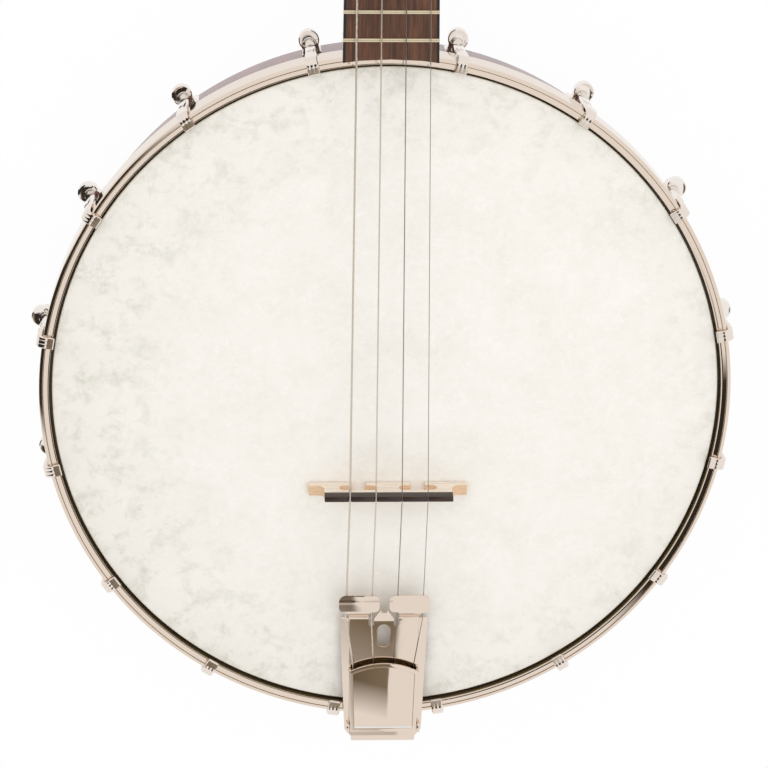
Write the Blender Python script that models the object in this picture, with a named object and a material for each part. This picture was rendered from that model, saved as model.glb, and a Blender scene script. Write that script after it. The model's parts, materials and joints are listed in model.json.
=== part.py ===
"""Tenor banjo lying on its back: the head faces +Z and the neck points along +Y."""

import math

import bmesh
import bpy
from mathutils import Matrix, Vector

MM = 0.001
CLEARANCE = 0.3 * MM
RING_STEPS = 72
ROUND_STEPS = 16
CORNER_STEPS = 3

# Wooden rim, which stands on its back edge
RIM_RADIUS = 139.2 * MM
RIM_WALL = 13.0 * MM
RIM_HEIGHT = 53.5 * MM
RIM_EDGE = 1.2 * MM

# Head: a film that folds over the rim into a square flesh hoop
FILM = 0.6 * MM
HEAD_SKIRT = 4.4 * MM
FLESH_HOOP_WIDTH = 2.7 * MM
FLESH_HOOP_HEIGHT = 4.0 * MM

# Tension hoop, which presses on the flesh hoop
HOOP_LIP = 2.15 * MM
HOOP_APRON = 2.1 * MM
HOOP_HEIGHT = 15.0 * MM
HOOP_RISE = 2.6 * MM
HOOP_SHOULDER = 1.4 * MM
HOOP_GROOVE = 0.45 * MM

# Hooks and the shoes that hold them to the rim
HOOKS_PER_SIDE = 8
HOOK_RING_TURN = math.radians(-0.5)
ROD_RADIUS = 1.8 * MM
HOOK_TIP_WIDTH = 5.0 * MM
HOOK_TIP_THICKNESS = 1.6 * MM
HOOK_SHANK_THICKNESS = 2.2 * MM
HOOK_BEND = 1.5 * MM
HOOK_OVERHANG = 1.1 * MM
HOOK_LEAN = 1.2 * MM
HOOK_NUT_RADIUS = 3.4 * MM
HOOK_NUT_HEIGHT = 5.0 * MM
HOOK_ROD_END = 10.0 * MM
NECK_TO_HOOK = 11.4 * MM
TAIL_TO_HOOK = 6.2 * MM
SHOE_TOP = 22.6 * MM
SHOE_HEIGHT = 11.8 * MM
SHOE_TONGUE = 4.4 * MM
SHOE_RADIUS = 4.4 * MM
SHOE_BEYOND_ROD = 1.7 * MM
SHOE_HOLE_ROOM = 0.9 * MM
SHOE_FOOT_WIDTH = 10.8 * MM
SHOE_FOOT_DEPTH = 2.3 * MM
SHOE_EDGE = 0.5 * MM
BOLT_RADIUS = 2.2 * MM
BOLT_NUT_RADIUS = 4.0 * MM
BOLT_NUT_HEIGHT = 3.0 * MM

# Neck, fingerboard and nut
SCALE_LENGTH = 584.0 * MM
FRETS = 19
FRET_WIDTH = 1.9 * MM
FRET_HEIGHT = 1.0 * MM
NECK_WIDTH_AT_POT = 39.2 * MM
NECK_WIDTH_AT_NUT = 31.5 * MM
NECK_DEPTH_AT_POT = 17.0 * MM
NECK_DEPTH_AT_NUT = 14.0 * MM
HEEL_DEPTH = 47.0 * MM
HEEL_LENGTH = 72.0 * MM
BOARD_THICKNESS = 5.5 * MM
BOARD_RISE = 5.5 * MM
BOARD_OVER_HOOP = 0.7 * MM
NUT_LENGTH = 5.0 * MM
NUT_RISE = 2.4 * MM

# Peghead, tilted back from the neck
PEGHEAD_TILT = math.radians(7.0)
PEGHEAD_LENGTH = 150.0 * MM
PEGHEAD_THICKNESS = 13.0 * MM
PEGHEAD_WAIST = 17.5 * MM
PEGHEAD_SHOULDER = 32.0 * MM

# Planetary tuners
TUNER_FIRST = 48.0 * MM
TUNER_PITCH = 52.0 * MM
TUNER_SIDE = 19.5 * MM
BARREL_RADIUS = 4.9 * MM
FLANGE_RADIUS = 6.4 * MM
FLANGE_HEIGHT = 2.0 * MM
HOUSING_RADIUS = 7.6 * MM
HOUSING_HEIGHT = 11.0 * MM
POST_RADIUS = 3.0 * MM
POST_WAIST = 2.4 * MM
POST_HEIGHT = 16.0 * MM
BUTTON_RADIUS = 9.5 * MM
BUTTON_HEIGHT = 14.0 * MM

# Bridge on three feet, given from its middle outwards
BRIDGE_BEHIND_CENTRE = 42.3 * MM
BRIDGE_TO_TREBLE = 1.1 * MM
BRIDGE_HEIGHT = 15.2 * MM
BRIDGE_CAP_HEIGHT = 4.7 * MM
BRIDGE_CAP_LENGTH = 54.0 * MM
BRIDGE_LENGTH = 66.8 * MM
BRIDGE_TOP_THICKNESS = 2.2 * MM
BRIDGE_FOOT_THICKNESS = 5.2 * MM
BRIDGE_TOE_HEIGHT = 3.6 * MM
BRIDGE_SWEEP = 4.5 * MM
BRIDGE_SLOT_START = 4.5 * MM
BRIDGE_SLOT_LENGTH = 16.1 * MM
BRIDGE_SLOT_HEIGHT = 4.6 * MM
BRIDGE_GAP_START = 9.4 * MM
BRIDGE_GAP = 6.2 * MM

# Strings, bass to treble
STRING_RADII = (0.43 * MM, 0.31 * MM, 0.21 * MM, 0.15 * MM)
SPACING_AT_NUT = 8.07 * MM
SPACING_AT_BRIDGE = 10.93 * MM
SPACING_UNDER_COVER = 8.4 * MM
SPACING_AT_PEGS = 6.4 * MM
STRING_TURNS = 2.5
STRING_TURN_GAP = 0.45 * MM

# Coordinator rod through the pot, and the bolt that holds the tailpiece
COORDINATOR_HEIGHT = 22.0 * MM
COORDINATOR_RADIUS = 4.75 * MM
COORDINATOR_NUT_RADIUS = 8.0 * MM
COORDINATOR_NUT_HEIGHT = 7.0 * MM
COORDINATOR_IN_HEEL = 20.0 * MM
TAIL_BOLT_RADIUS = 3.0 * MM
TAIL_SLEEVE_RADIUS = 6.0 * MM
TAIL_CAP_RADIUS = 5.5 * MM
TAIL_CAP_HEIGHT = 6.0 * MM

# Tailpiece of sheet metal, with its cover hinged at the back
SHEET = 1.2 * MM
TAIL_STANDOFF = 12.0 * MM
TAIL_RISE = 2.8 * MM
TAIL_BEND = 2.5 * MM
TAIL_LENGTH = 53.8 * MM
TAIL_FRONT_WIDTH = 37.8 * MM
TAIL_BACK_WIDTH = 33.0 * MM
TAIL_FLANGE_SLOPE = 0.75
TONGUE_TOP_WIDTH = 27.6 * MM
TONGUE_END_WIDTH = 15.0 * MM
TONGUE_BELOW_BOLT = 9.0 * MM
FINGER_LENGTH = 12.3 * MM
FINGER_GAP = 4.2 * MM
FINGER_SPAN = 38.8 * MM
LOBE_LENGTH = 7.6 * MM
WAIST_INNER = 6.5 * MM
WAIST_OUTER = 15.0 * MM
STRING_NOTCH_WIDTH = 2.5 * MM
STRING_NOTCH_DEPTH = 3.4 * MM
OVAL_LENGTH = 11.0 * MM
OVAL_WIDTH = 6.4 * MM
PEG_RADIUS = 0.8 * MM
COVER_WIDTH = 30.0 * MM
COVER_BACK_WIDTH = 28.2 * MM
COVER_LENGTH = 27.7 * MM
COVER_ARCH = 3.8 * MM
COVER_SHEET = 1.0 * MM
COVER_ROOM = 3.2 * MM
PIN_RADIUS = 0.9 * MM
COVER_SET_IN = 3.4 * MM
PIN_SET_BACK = 1.4 * MM
EAR_THICKNESS = 1.2 * MM

# Places that follow from the sizes
RIM_INNER = RIM_RADIUS - RIM_WALL
HEAD_TOP = RIM_HEIGHT + CLEARANCE + FILM
HEAD_INNER = RIM_RADIUS + CLEARANCE
SKIRT_RADIUS = HEAD_INNER + FILM
FLESH_TOP = HEAD_TOP - FILM - HEAD_SKIRT
FLESH_RADIUS = SKIRT_RADIUS + FLESH_HOOP_WIDTH
HOOP_TOP = HEAD_TOP + HOOP_RISE
HOOP_BOTTOM = HOOP_TOP - HOOP_HEIGHT
HOOP_APRON_INNER = FLESH_RADIUS + CLEARANCE
HOOP_RADIUS = HOOP_APRON_INNER + HOOP_APRON
HOOP_INNER = HOOP_RADIUS - HOOP_APRON - HOOP_LIP + HOOP_GROOVE
HOOK_RADIUS = HOOP_RADIUS + CLEARANCE + HOOK_SHANK_THICKNESS / 2
HOLE_PLACE = HOOK_RADIUS - HOOK_LEAN
SHOE_PLACE = HOLE_PLACE + SHOE_BEYOND_ROD
HOOK_TOP = HOOP_TOP + CLEARANCE + HOOK_TIP_THICKNESS
SHOE_BOTTOM = SHOE_TOP - SHOE_HEIGHT
SHOE_MIDDLE = SHOE_BOTTOM + SHOE_HEIGHT / 2
FIRST_HOOK = math.asin((NECK_WIDTH_AT_POT / 2 + NECK_TO_HOOK) / HOOK_RADIUS)
LAST_HOOK = math.pi - math.asin((TAIL_BACK_WIDTH / 2 + TAIL_TO_HOOK) / HOOK_RADIUS)

BRIDGE_Y = -BRIDGE_BEHIND_CENTRE
NUT_Y = BRIDGE_Y + SCALE_LENGTH
BOARD_TOP = HOOP_TOP + BOARD_RISE
BOARD_BOTTOM = BOARD_TOP - BOARD_THICKNESS
NECK_TOP = BOARD_BOTTOM - CLEARANCE
NUT_TOP = BOARD_TOP + NUT_RISE
SLOT_DEPTH_AT_NUT = 0.5 * MM
SLOT_DEPTH_AT_BRIDGE = 0.4 * MM
HEEL_FRONT = HOOP_RADIUS + 4.0 * MM
PEGHEAD_Y = NUT_Y + NUT_LENGTH
BRIDGE_TOP = HEAD_TOP + CLEARANCE + BRIDGE_HEIGHT

TAIL_BACK = -(HOOP_RADIUS + TAIL_STANDOFF)
TAIL_BEND_Y = TAIL_BACK + SHEET + TAIL_BEND
TAIL_NOTCH_Y = TAIL_BEND_Y + TAIL_LENGTH
TAIL_FRONT_Y = TAIL_NOTCH_Y + FINGER_LENGTH
TAIL_BOTTOM = HOOP_TOP + TAIL_RISE
TAIL_TOP = TAIL_BOTTOM + SHEET
COVER_BACK_Y = TAIL_BEND_Y + COVER_SET_IN
COVER_FRONT_Y = COVER_BACK_Y + COVER_LENGTH
COVER_BOTTOM = TAIL_TOP + COVER_ROOM
PIN_Y = COVER_BACK_Y + PIN_SET_BACK
PIN_Z = COVER_BOTTOM - PIN_RADIUS
PEG_Y = PIN_Y + 6.0 * MM


def clear_scene():
    for obj in list(bpy.data.objects):
        bpy.data.objects.remove(obj, do_unlink=True)


def make_material(name, colour, roughness, metallic=0.0):
    material = bpy.data.materials.new(name)
    material.use_nodes = True
    shader = material.node_tree.nodes["Principled BSDF"]
    shader.inputs["Base Color"].default_value = (*colour, 1.0)
    shader.inputs["Roughness"].default_value = roughness
    shader.inputs["Metallic"].default_value = metallic
    return material


def add_empty(name, parent=None, matrix=Matrix()):
    empty = bpy.data.objects.new(name, None)
    bpy.context.scene.collection.objects.link(empty)
    empty.parent = parent
    empty.matrix_local = matrix
    return empty


def add_object(name, data, parent, material=None, matrix=Matrix()):
    obj = bpy.data.objects.new(name, data)
    bpy.context.scene.collection.objects.link(obj)
    obj.parent = parent
    obj.matrix_local = matrix
    if material:
        data.materials.clear()
        data.materials.append(material)
    return obj


def add_helper(name, mesh, parent, matrix=Matrix()):
    """A cutter or a shape to join on, which isn't itself a piece."""
    helper = add_object(name, mesh, parent, matrix=matrix)
    helper.hide_render = True
    helper.display_type = "WIRE"
    return helper


def combine(obj, helper, operation):
    modifier = obj.modifiers.new(helper.name, "BOOLEAN")
    modifier.operation = operation
    modifier.object = helper


def mesh_of(bm, name, sharp_angle=35.0):
    """A mesh of the shape, with its faces outwards and its round stretches smooth."""
    bmesh.ops.recalc_face_normals(bm, faces=bm.faces)
    mesh = bpy.data.meshes.new(name)
    bm.to_mesh(mesh)
    bm.free()
    mesh.shade_smooth()
    mesh.set_sharp_from_angle(angle=math.radians(sharp_angle))
    return mesh


def turned(profile, steps=RING_STEPS):
    """A solid turned about Z from points of radius and height."""
    bm = bmesh.new()
    verts = [bm.verts.new((radius, 0.0, height)) for radius, height in profile]
    edges = [bm.edges.new(pair) for pair in zip(verts, verts[1:])]
    if profile[0][0] > 0.0:
        edges.append(bm.edges.new((verts[-1], verts[0])))
    bmesh.ops.spin(
        bm, geom=verts + edges, cent=(0, 0, 0), axis=(0, 0, 1), angle=math.tau, steps=steps
    )
    bmesh.ops.remove_doubles(bm, verts=bm.verts, dist=0.001 * MM)
    return bm


def loft(rings):
    """A solid through closed rings of equally many points, with flat ends."""
    bm = bmesh.new()
    loops = [[bm.verts.new(point) for point in ring] for ring in rings]
    for first, second in zip(loops, loops[1:]):
        for here, after in zip(range(len(first)), [*range(1, len(first)), 0]):
            bm.faces.new((first[here], first[after], second[after], second[here]))
    bm.faces.new(loops[0])
    bm.faces.new(loops[-1])
    return bm


def prism(outline, bottom, top):
    """A flat outline raised from one height to another."""
    bm = bmesh.new()
    face = bm.faces.new([bm.verts.new((x, y, bottom)) for x, y in outline])
    raised = bmesh.ops.extrude_face_region(bm, geom=[face])["geom"]
    verts = [item for item in raised if isinstance(item, bmesh.types.BMVert)]
    bmesh.ops.translate(bm, vec=(0.0, 0.0, top - bottom), verts=verts)
    return bm


def add_cylinder(bm, start, end, radius, steps=ROUND_STEPS):
    """A round or many-sided bar between two points."""
    start = Vector(start)
    along = Vector(end) - start
    turn = along.to_track_quat("Z", "Y").to_matrix().to_4x4()
    place = Matrix.Translation(start + along / 2) @ turn
    bmesh.ops.create_cone(
        bm,
        cap_ends=True,
        segments=steps,
        radius1=radius,
        radius2=radius,
        depth=along.length,
        matrix=place,
    )


def add_box(bm, low, high):
    low = Vector(low)
    high = Vector(high)
    size = high - low
    place = Matrix.Translation((low + high) / 2) @ Matrix.Diagonal((*size, 1.0))
    bmesh.ops.create_cube(bm, size=1.0, matrix=place)


def filleted(corners):
    """The outline through corners of x, y and fillet radius."""
    points = []
    for index, (x, y, radius) in enumerate(corners):
        corner = Vector((x, y))
        before = Vector(corners[index - 1][:2]) - corner
        after = Vector(corners[(index + 1) % len(corners)][:2]) - corner
        if radius == 0.0:
            points.append(corner)
            continue
        half = before.angle(after) / 2
        reach = min(radius / math.tan(half), 0.49 * before.length, 0.49 * after.length)
        radius = reach * math.tan(half)
        centre = corner + (before.normalized() + after.normalized()).normalized() * (
            radius / math.sin(half)
        )
        start = corner + before.normalized() * reach - centre
        sweep = start.angle_signed(corner + after.normalized() * reach - centre)
        for step in range(CORNER_STEPS + 1):
            turn = Matrix.Rotation(-sweep * step / CORNER_STEPS, 2)
            points.append(centre + turn @ start)
    return points


def smooth_step(value):
    value = min(max(value, 0.0), 1.0)
    return value * value * (3.0 - 2.0 * value)


def rounded_section(width, thickness, squareness, count=8):
    """Points of a rounded rectangle, from a circle at 2 to nearly square above 6."""
    points = []
    for index in range(count):
        angle = (index + 0.5) * math.tau / count
        across = math.copysign(abs(math.cos(angle)) ** (2 / squareness), math.cos(angle))
        up = math.copysign(abs(math.sin(angle)) ** (2 / squareness), math.sin(angle))
        points.append((across * width / 2, up * thickness / 2))
    return points


def baked_mesh(obj):
    """The object's finished mesh, for copies to share. The object itself is removed."""
    graph = bpy.context.evaluated_depsgraph_get()
    mesh = bpy.data.meshes.new_from_object(obj.evaluated_get(graph))
    mesh.name = obj.name
    bpy.data.objects.remove(obj)
    return mesh


def around_pot(angle):
    """Turns a piece made on +X to an angle clockwise from the neck."""
    return Matrix.Rotation(math.pi / 2 - angle, 4, "Z")


def hook_angles():
    step = (LAST_HOOK - FIRST_HOOK) / (HOOKS_PER_SIDE - 1)
    right = [FIRST_HOOK + step * index for index in range(HOOKS_PER_SIDE)]
    both = right + [math.tau - angle for angle in reversed(right)]
    return [angle + HOOK_RING_TURN for angle in both]


def neck_half_width(y):
    share = (y - HOOP_RADIUS) / (NUT_Y - HOOP_RADIUS)
    return (NECK_WIDTH_AT_POT + (NECK_WIDTH_AT_NUT - NECK_WIDTH_AT_POT) * share) / 2


def string_side(index, spacing):
    """How far from the middle a string lies, for strings this far apart."""
    return (index - (len(STRING_RADII) - 1) / 2) * spacing


def string_heights(radius):
    """Centre heights of a string in its nut slot, on the bridge and on the tailpiece."""
    at_nut = NUT_TOP - SLOT_DEPTH_AT_NUT + radius + CLEARANCE
    at_bridge = BRIDGE_TOP - SLOT_DEPTH_AT_BRIDGE + radius + CLEARANCE
    on_tail = TAIL_TOP + radius + CLEARANCE
    return at_nut, at_bridge, on_tail


def lobe_bottom():
    """The fingers pass just over the thickest string on its way to the plate."""
    radius = max(STRING_RADII)
    _, at_bridge, on_tail = string_heights(radius)
    share = (TAIL_FRONT_Y - TAIL_NOTCH_Y) / (BRIDGE_Y - TAIL_NOTCH_Y)
    return on_tail + (at_bridge - on_tail) * share + radius + CLEARANCE


def pot_envelope(margin):
    """The rim and hoop with a margin, which the heel and fingerboard are cut to fit."""
    low = -margin - 10.0 * MM
    high = BOARD_TOP + 20.0 * MM
    step = HOOP_BOTTOM - margin
    return turned(
        [
            (0.0, low),
            (RIM_RADIUS + margin, low),
            (RIM_RADIUS + margin, step),
            (HOOP_RADIUS + margin, step),
            (HOOP_RADIUS + margin, high),
            (0.0, high),
        ]
    )


def make_rim(pot):
    edge = RIM_EDGE
    profile = [
        (RIM_INNER, edge),
        (RIM_INNER, RIM_HEIGHT - edge),
        (RIM_INNER + edge, RIM_HEIGHT),
        (RIM_RADIUS - edge, RIM_HEIGHT),
        (RIM_RADIUS, RIM_HEIGHT - edge),
        (RIM_RADIUS, edge),
        (RIM_RADIUS - edge, 0.0),
        (RIM_INNER + edge, 0.0),
    ]
    maple = make_material("maple_rim", (0.30, 0.12, 0.06), 0.3)
    rim = add_object("rim", mesh_of(turned(profile), "rim"), pot, maple)
    holes = bmesh.new()
    for angle in hook_angles():
        across = around_pot(angle) @ Vector((1.0, 0.0, 0.0))
        height = Vector((0.0, 0.0, SHOE_MIDDLE))
        inside = across * (RIM_INNER - RIM_WALL / 2) + height
        outside = across * (RIM_RADIUS + RIM_WALL / 2) + height
        add_cylinder(holes, inside, outside, BOLT_RADIUS + CLEARANCE, 8)
    rod_hole = COORDINATOR_RADIUS + CLEARANCE
    bolt_hole = TAIL_BOLT_RADIUS + CLEARANCE
    middle = RIM_RADIUS - RIM_WALL / 2
    level = COORDINATOR_HEIGHT
    add_cylinder(holes, (0, RIM_INNER / 2, level), (0, RIM_RADIUS + RIM_WALL, level), rod_hole)
    add_cylinder(holes, (0, -RIM_INNER / 2, level), (0, -middle, level), rod_hole)
    rim_holes = add_helper("rim_holes", mesh_of(holes, "rim_holes"), pot)
    combine(rim, rim_holes, "DIFFERENCE")
    bolt = bmesh.new()
    add_cylinder(bolt, (0, -RIM_INNER, level), (0, -RIM_RADIUS - RIM_WALL, level), bolt_hole)
    rim_bolt_hole = add_helper("rim_bolt_hole", mesh_of(bolt, "rim_bolt_hole"), pot)
    combine(rim, rim_bolt_hole, "DIFFERENCE")


def make_head(pot):
    under = HEAD_TOP - FILM
    fold = RIM_EDGE
    profile = [
        (0.0, HEAD_TOP),
        (SKIRT_RADIUS - fold - FILM / 2, HEAD_TOP),
        (SKIRT_RADIUS - fold / 3, HEAD_TOP - fold / 3),
        (SKIRT_RADIUS, HEAD_TOP - fold - FILM / 2),
        (SKIRT_RADIUS, FLESH_TOP),
        (FLESH_RADIUS, FLESH_TOP),
        (FLESH_RADIUS, FLESH_TOP - FLESH_HOOP_HEIGHT),
        (HEAD_INNER, FLESH_TOP - FLESH_HOOP_HEIGHT),
        (HEAD_INNER, under - fold),
        (HEAD_INNER - fold, under),
        (0.0, under),
    ]
    skin = make_material("coated_film", (0.84, 0.83, 0.78), 0.6)
    add_object("head", mesh_of(turned(profile), "head"), pot, skin)


def make_tension_hoop(pot):
    lip_top = HOOP_TOP
    profile = [
        (HOOP_INNER, FLESH_TOP + CLEARANCE),
        (HOOP_INNER, lip_top - HOOP_GROOVE),
        (HOOP_INNER + HOOP_GROOVE, lip_top),
        (HOOP_INNER + HOOP_LIP, lip_top),
        (HOOP_INNER + HOOP_LIP + HOOP_GROOVE / 2, lip_top - HOOP_GROOVE),
        (HOOP_RADIUS - HOOP_SHOULDER / 2, lip_top - HOOP_SHOULDER / 2),
        (HOOP_RADIUS, lip_top - HOOP_SHOULDER),
        (HOOP_RADIUS, HOOP_BOTTOM),
        (HOOP_APRON_INNER, HOOP_BOTTOM),
        (HOOP_APRON_INNER, FLESH_TOP + CLEARANCE),
    ]
    nickel = make_material("nickel_hoop", (0.78, 0.74, 0.68), 0.12, 1.0)
    add_object("tension_hoop", mesh_of(turned(profile), "tension_hoop"), pot, nickel)


def hook_shape():
    """A rod whose upper half is flattened and bends over the hoop, on +X."""
    tip_level = HOOK_TOP - HOOK_TIP_THICKNESS / 2
    tip = (HOOK_TIP_WIDTH, HOOK_TIP_THICKNESS, 8.0)
    shank = (HOOK_TIP_WIDTH, HOOK_SHANK_THICKNESS, 5.0)
    rod = (2 * ROD_RADIUS, 2 * ROD_RADIUS, 2.0)
    bend = HOOK_BEND + HOOK_SHANK_THICKNESS / 2
    corner = HOOK_RADIUS - bend
    stations = [(HOOP_INNER - HOOK_OVERHANG, tip_level, 0.0, tip)]
    bend_steps = 4
    for step in range(bend_steps + 1):
        share = step / bend_steps
        turn = share * math.pi / 2
        shape = tuple(a + (b - a) * share for a, b in zip(tip, shank))
        across = corner + bend * math.sin(turn)
        stations.append((across, tip_level - bend + bend * math.cos(turn), -turn, shape))
    down = -math.pi / 2
    above_shoe = SHOE_TOP + (HOOP_BOTTOM - SHOE_TOP) / 3
    stations.append((HOOK_RADIUS, HOOP_BOTTOM, down, shank))
    stations.append((HOLE_PLACE, above_shoe, down, rod))
    stations.append((HOLE_PLACE, HOOK_ROD_END, down, rod))
    rings = []
    for across, height, turn, shape in stations:
        ring = []
        for side, up in rounded_section(*shape):
            x = across - up * math.sin(turn)
            ring.append((x, side, height + up * math.cos(turn)))
        rings.append(ring)
    return loft(rings)


def make_hooks(pot):
    nickel = make_material("nickel_hook", (0.80, 0.77, 0.72), 0.15, 1.0)
    hook = add_object("hook", mesh_of(hook_shape(), "hook"), None, nickel)
    nut = bmesh.new()
    top = SHOE_TOP - SHOE_TONGUE - CLEARANCE
    bottom = top - HOOK_NUT_HEIGHT
    add_cylinder(nut, (HOLE_PLACE, 0, bottom), (HOLE_PLACE, 0, top), HOOK_NUT_RADIUS, 6)
    nut_helper = add_helper("hook_nut", mesh_of(nut, "hook_nut"), None)
    combine(hook, nut_helper, "UNION")
    mesh = baked_mesh(hook)
    bpy.data.objects.remove(nut_helper)
    for number, angle in enumerate(hook_angles(), 1):
        add_object(f"hook_{number:02d}", mesh, pot, matrix=around_pot(angle))


def shoe_outline():
    """Seen from above: a flared foot on the rim and a round outer end."""
    back = RIM_RADIUS + CLEARANCE
    foot = SHOE_FOOT_WIDTH / 2
    points = [(back, -foot), (back + SHOE_FOOT_DEPTH / 2, -foot)]
    points.append((back + SHOE_FOOT_DEPTH, -SHOE_RADIUS))
    arc_steps = 8
    for step in range(arc_steps + 1):
        angle = -math.pi / 2 + math.pi * step / arc_steps
        x = SHOE_PLACE + SHOE_RADIUS * math.cos(angle)
        points.append((x, SHOE_RADIUS * math.sin(angle)))
    points.append((back + SHOE_FOOT_DEPTH, SHOE_RADIUS))
    points += [(back + SHOE_FOOT_DEPTH / 2, foot), (back, foot)]
    return points


def shoe_side():
    """Seen from the side: a tongue over the hook's nut, and the foot that hangs from it."""
    room = SHOE_RADIUS
    back = RIM_RADIUS - room
    wall = RIM_RADIUS + CLEARANCE + SHOE_FOOT_DEPTH
    end = SHOE_PLACE + SHOE_RADIUS
    seat = SHOE_TOP - SHOE_TONGUE
    return [
        (back, SHOE_TOP + room),
        (end + room, SHOE_TOP + room),
        (end + room, SHOE_TOP - SHOE_TONGUE / 2),
        (end, SHOE_TOP - SHOE_TONGUE / 2),
        (end - SHOE_TONGUE / 4, SHOE_TOP - SHOE_TONGUE * 0.85),
        (end - SHOE_TONGUE / 2, seat),
        (wall, seat),
        (wall, SHOE_BOTTOM + SHOE_EDGE),
        (wall - SHOE_EDGE, SHOE_BOTTOM),
        (back, SHOE_BOTTOM),
    ]


def make_shoes(pot):
    nickel = make_material("nickel_shoe", (0.76, 0.72, 0.66), 0.16, 1.0)
    body = prism(shoe_outline(), SHOE_BOTTOM - SHOE_RADIUS, SHOE_TOP)
    level = SHOE_TOP - SHOE_EDGE / 2
    rim_of_top = [edge for edge in body.edges if all(v.co.z > level for v in edge.verts)]
    bmesh.ops.bevel(body, geom=rim_of_top, offset=SHOE_EDGE, segments=1, affect="EDGES")
    shoe = add_object("shoe", mesh_of(body, "shoe"), None, nickel)
    side = prism(shoe_side(), -SHOE_FOOT_WIDTH, SHOE_FOOT_WIDTH)
    upright = Matrix.Rotation(math.pi / 2, 4, "X")
    side_helper = add_helper("shoe_side", mesh_of(side, "shoe_side"), None, upright)
    combine(shoe, side_helper, "INTERSECT")
    bolt = bmesh.new()
    inside = RIM_INNER - CLEARANCE - BOLT_NUT_HEIGHT - BOLT_RADIUS / 2
    start = (inside, 0, SHOE_MIDDLE)
    end = (RIM_RADIUS + SHOE_FOOT_DEPTH, 0, SHOE_MIDDLE)
    add_cylinder(bolt, start, end, BOLT_RADIUS, 6)
    bolt_helper = add_helper("shoe_bolt", mesh_of(bolt, "shoe_bolt"), None)
    combine(shoe, bolt_helper, "UNION")
    nut = bmesh.new()
    seat = RIM_INNER - CLEARANCE
    start = (seat - BOLT_NUT_HEIGHT, 0, SHOE_MIDDLE)
    add_cylinder(nut, start, (seat, 0, SHOE_MIDDLE), BOLT_NUT_RADIUS, 6)
    nut_helper = add_helper("shoe_nut", mesh_of(nut, "shoe_nut"), None)
    combine(shoe, nut_helper, "UNION")
    hole = bmesh.new()
    low = (HOLE_PLACE, 0, SHOE_BOTTOM - SHOE_RADIUS)
    high = (HOLE_PLACE, 0, SHOE_TOP + SHOE_RADIUS)
    add_cylinder(hole, low, high, ROD_RADIUS + SHOE_HOLE_ROOM, 10)
    hole_helper = add_helper("shoe_hole", mesh_of(hole, "shoe_hole"), None)
    combine(shoe, hole_helper, "DIFFERENCE")
    mesh = baked_mesh(shoe)
    for helper in (side_helper, bolt_helper, nut_helper, hole_helper):
        bpy.data.objects.remove(helper)
    for number, angle in enumerate(hook_angles(), 1):
        add_object(f"shoe_{number:02d}", mesh, pot, matrix=around_pot(angle))


def neck_ring(y, top, half_width, depth):
    """A D-shaped section: flat on top and rounded below."""
    curve_steps = 12
    squareness = 2.3
    ring = []
    for step in range(curve_steps + 1):
        angle = math.pi * step / curve_steps
        across = math.copysign(abs(math.cos(angle)) ** (2 / squareness), math.cos(angle))
        down = math.sin(angle) ** (2 / squareness)
        ring.append((across * half_width, y, top - down * depth))
    return ring


def neck_depth(y):
    share = (y - HOOP_RADIUS) / (NUT_Y - HOOP_RADIUS)
    shaft = NECK_DEPTH_AT_POT + (NECK_DEPTH_AT_NUT - NECK_DEPTH_AT_POT) * share
    heel = 1.0 - smooth_step((y - HEEL_FRONT) / HEEL_LENGTH)
    return shaft + (HEEL_DEPTH - shaft) * heel


def neck_shape():
    rings = [neck_ring(RIM_RADIUS / 2, NECK_TOP, neck_half_width(RIM_RADIUS), HEEL_DEPTH)]
    heel_steps = 7
    for step in range(heel_steps + 1):
        y = HEEL_FRONT + HEEL_LENGTH * step / heel_steps
        rings.append(neck_ring(y, NECK_TOP, neck_half_width(y), neck_depth(y)))
    rings.append(neck_ring(PEGHEAD_Y, NECK_TOP, neck_half_width(PEGHEAD_Y), NECK_DEPTH_AT_NUT))
    root = 12.0 * MM
    drop = root * math.tan(PEGHEAD_TILT) + CLEARANCE
    depth = PEGHEAD_THICKNESS - 2 * CLEARANCE
    half_width = neck_half_width(PEGHEAD_Y) - CLEARANCE
    rings.append(neck_ring(PEGHEAD_Y + root, NECK_TOP - drop, half_width, depth))
    return loft(rings)


def peghead_outline():
    """Widens from the nut to rounded shoulders, with a shallow crest at the end."""
    length = PEGHEAD_LENGTH
    start = neck_half_width(PEGHEAD_Y)
    middle = (PEGHEAD_WAIST + PEGHEAD_SHOULDER) / 2
    right = [
        (start, CLEARANCE, 0.0),
        (PEGHEAD_WAIST, 0.1 * length, 12.0 * MM),
        (middle, 0.26 * length, 30.0 * MM),
        (PEGHEAD_SHOULDER, 0.5 * length, 90.0 * MM),
        (PEGHEAD_SHOULDER * 0.94, 0.93 * length, 9.0 * MM),
        (PEGHEAD_SHOULDER * 0.4, 0.95 * length, 10.0 * MM),
    ]
    left = [(-x, y, radius) for x, y, radius in reversed(right)]
    return filleted([*right, (0.0, length, 14.0 * MM), *left])


def peghead_matrix():
    tilt = Matrix.Rotation(-PEGHEAD_TILT, 4, "X")
    return Matrix.Translation((0.0, PEGHEAD_Y, NECK_TOP)) @ tilt


def tuner_places():
    """Across and along the peghead, in the order of the strings."""
    near = TUNER_FIRST
    far = TUNER_FIRST + TUNER_PITCH
    return ((-TUNER_SIDE, near), (-TUNER_SIDE, far), (TUNER_SIDE, far), (TUNER_SIDE, near))


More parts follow.
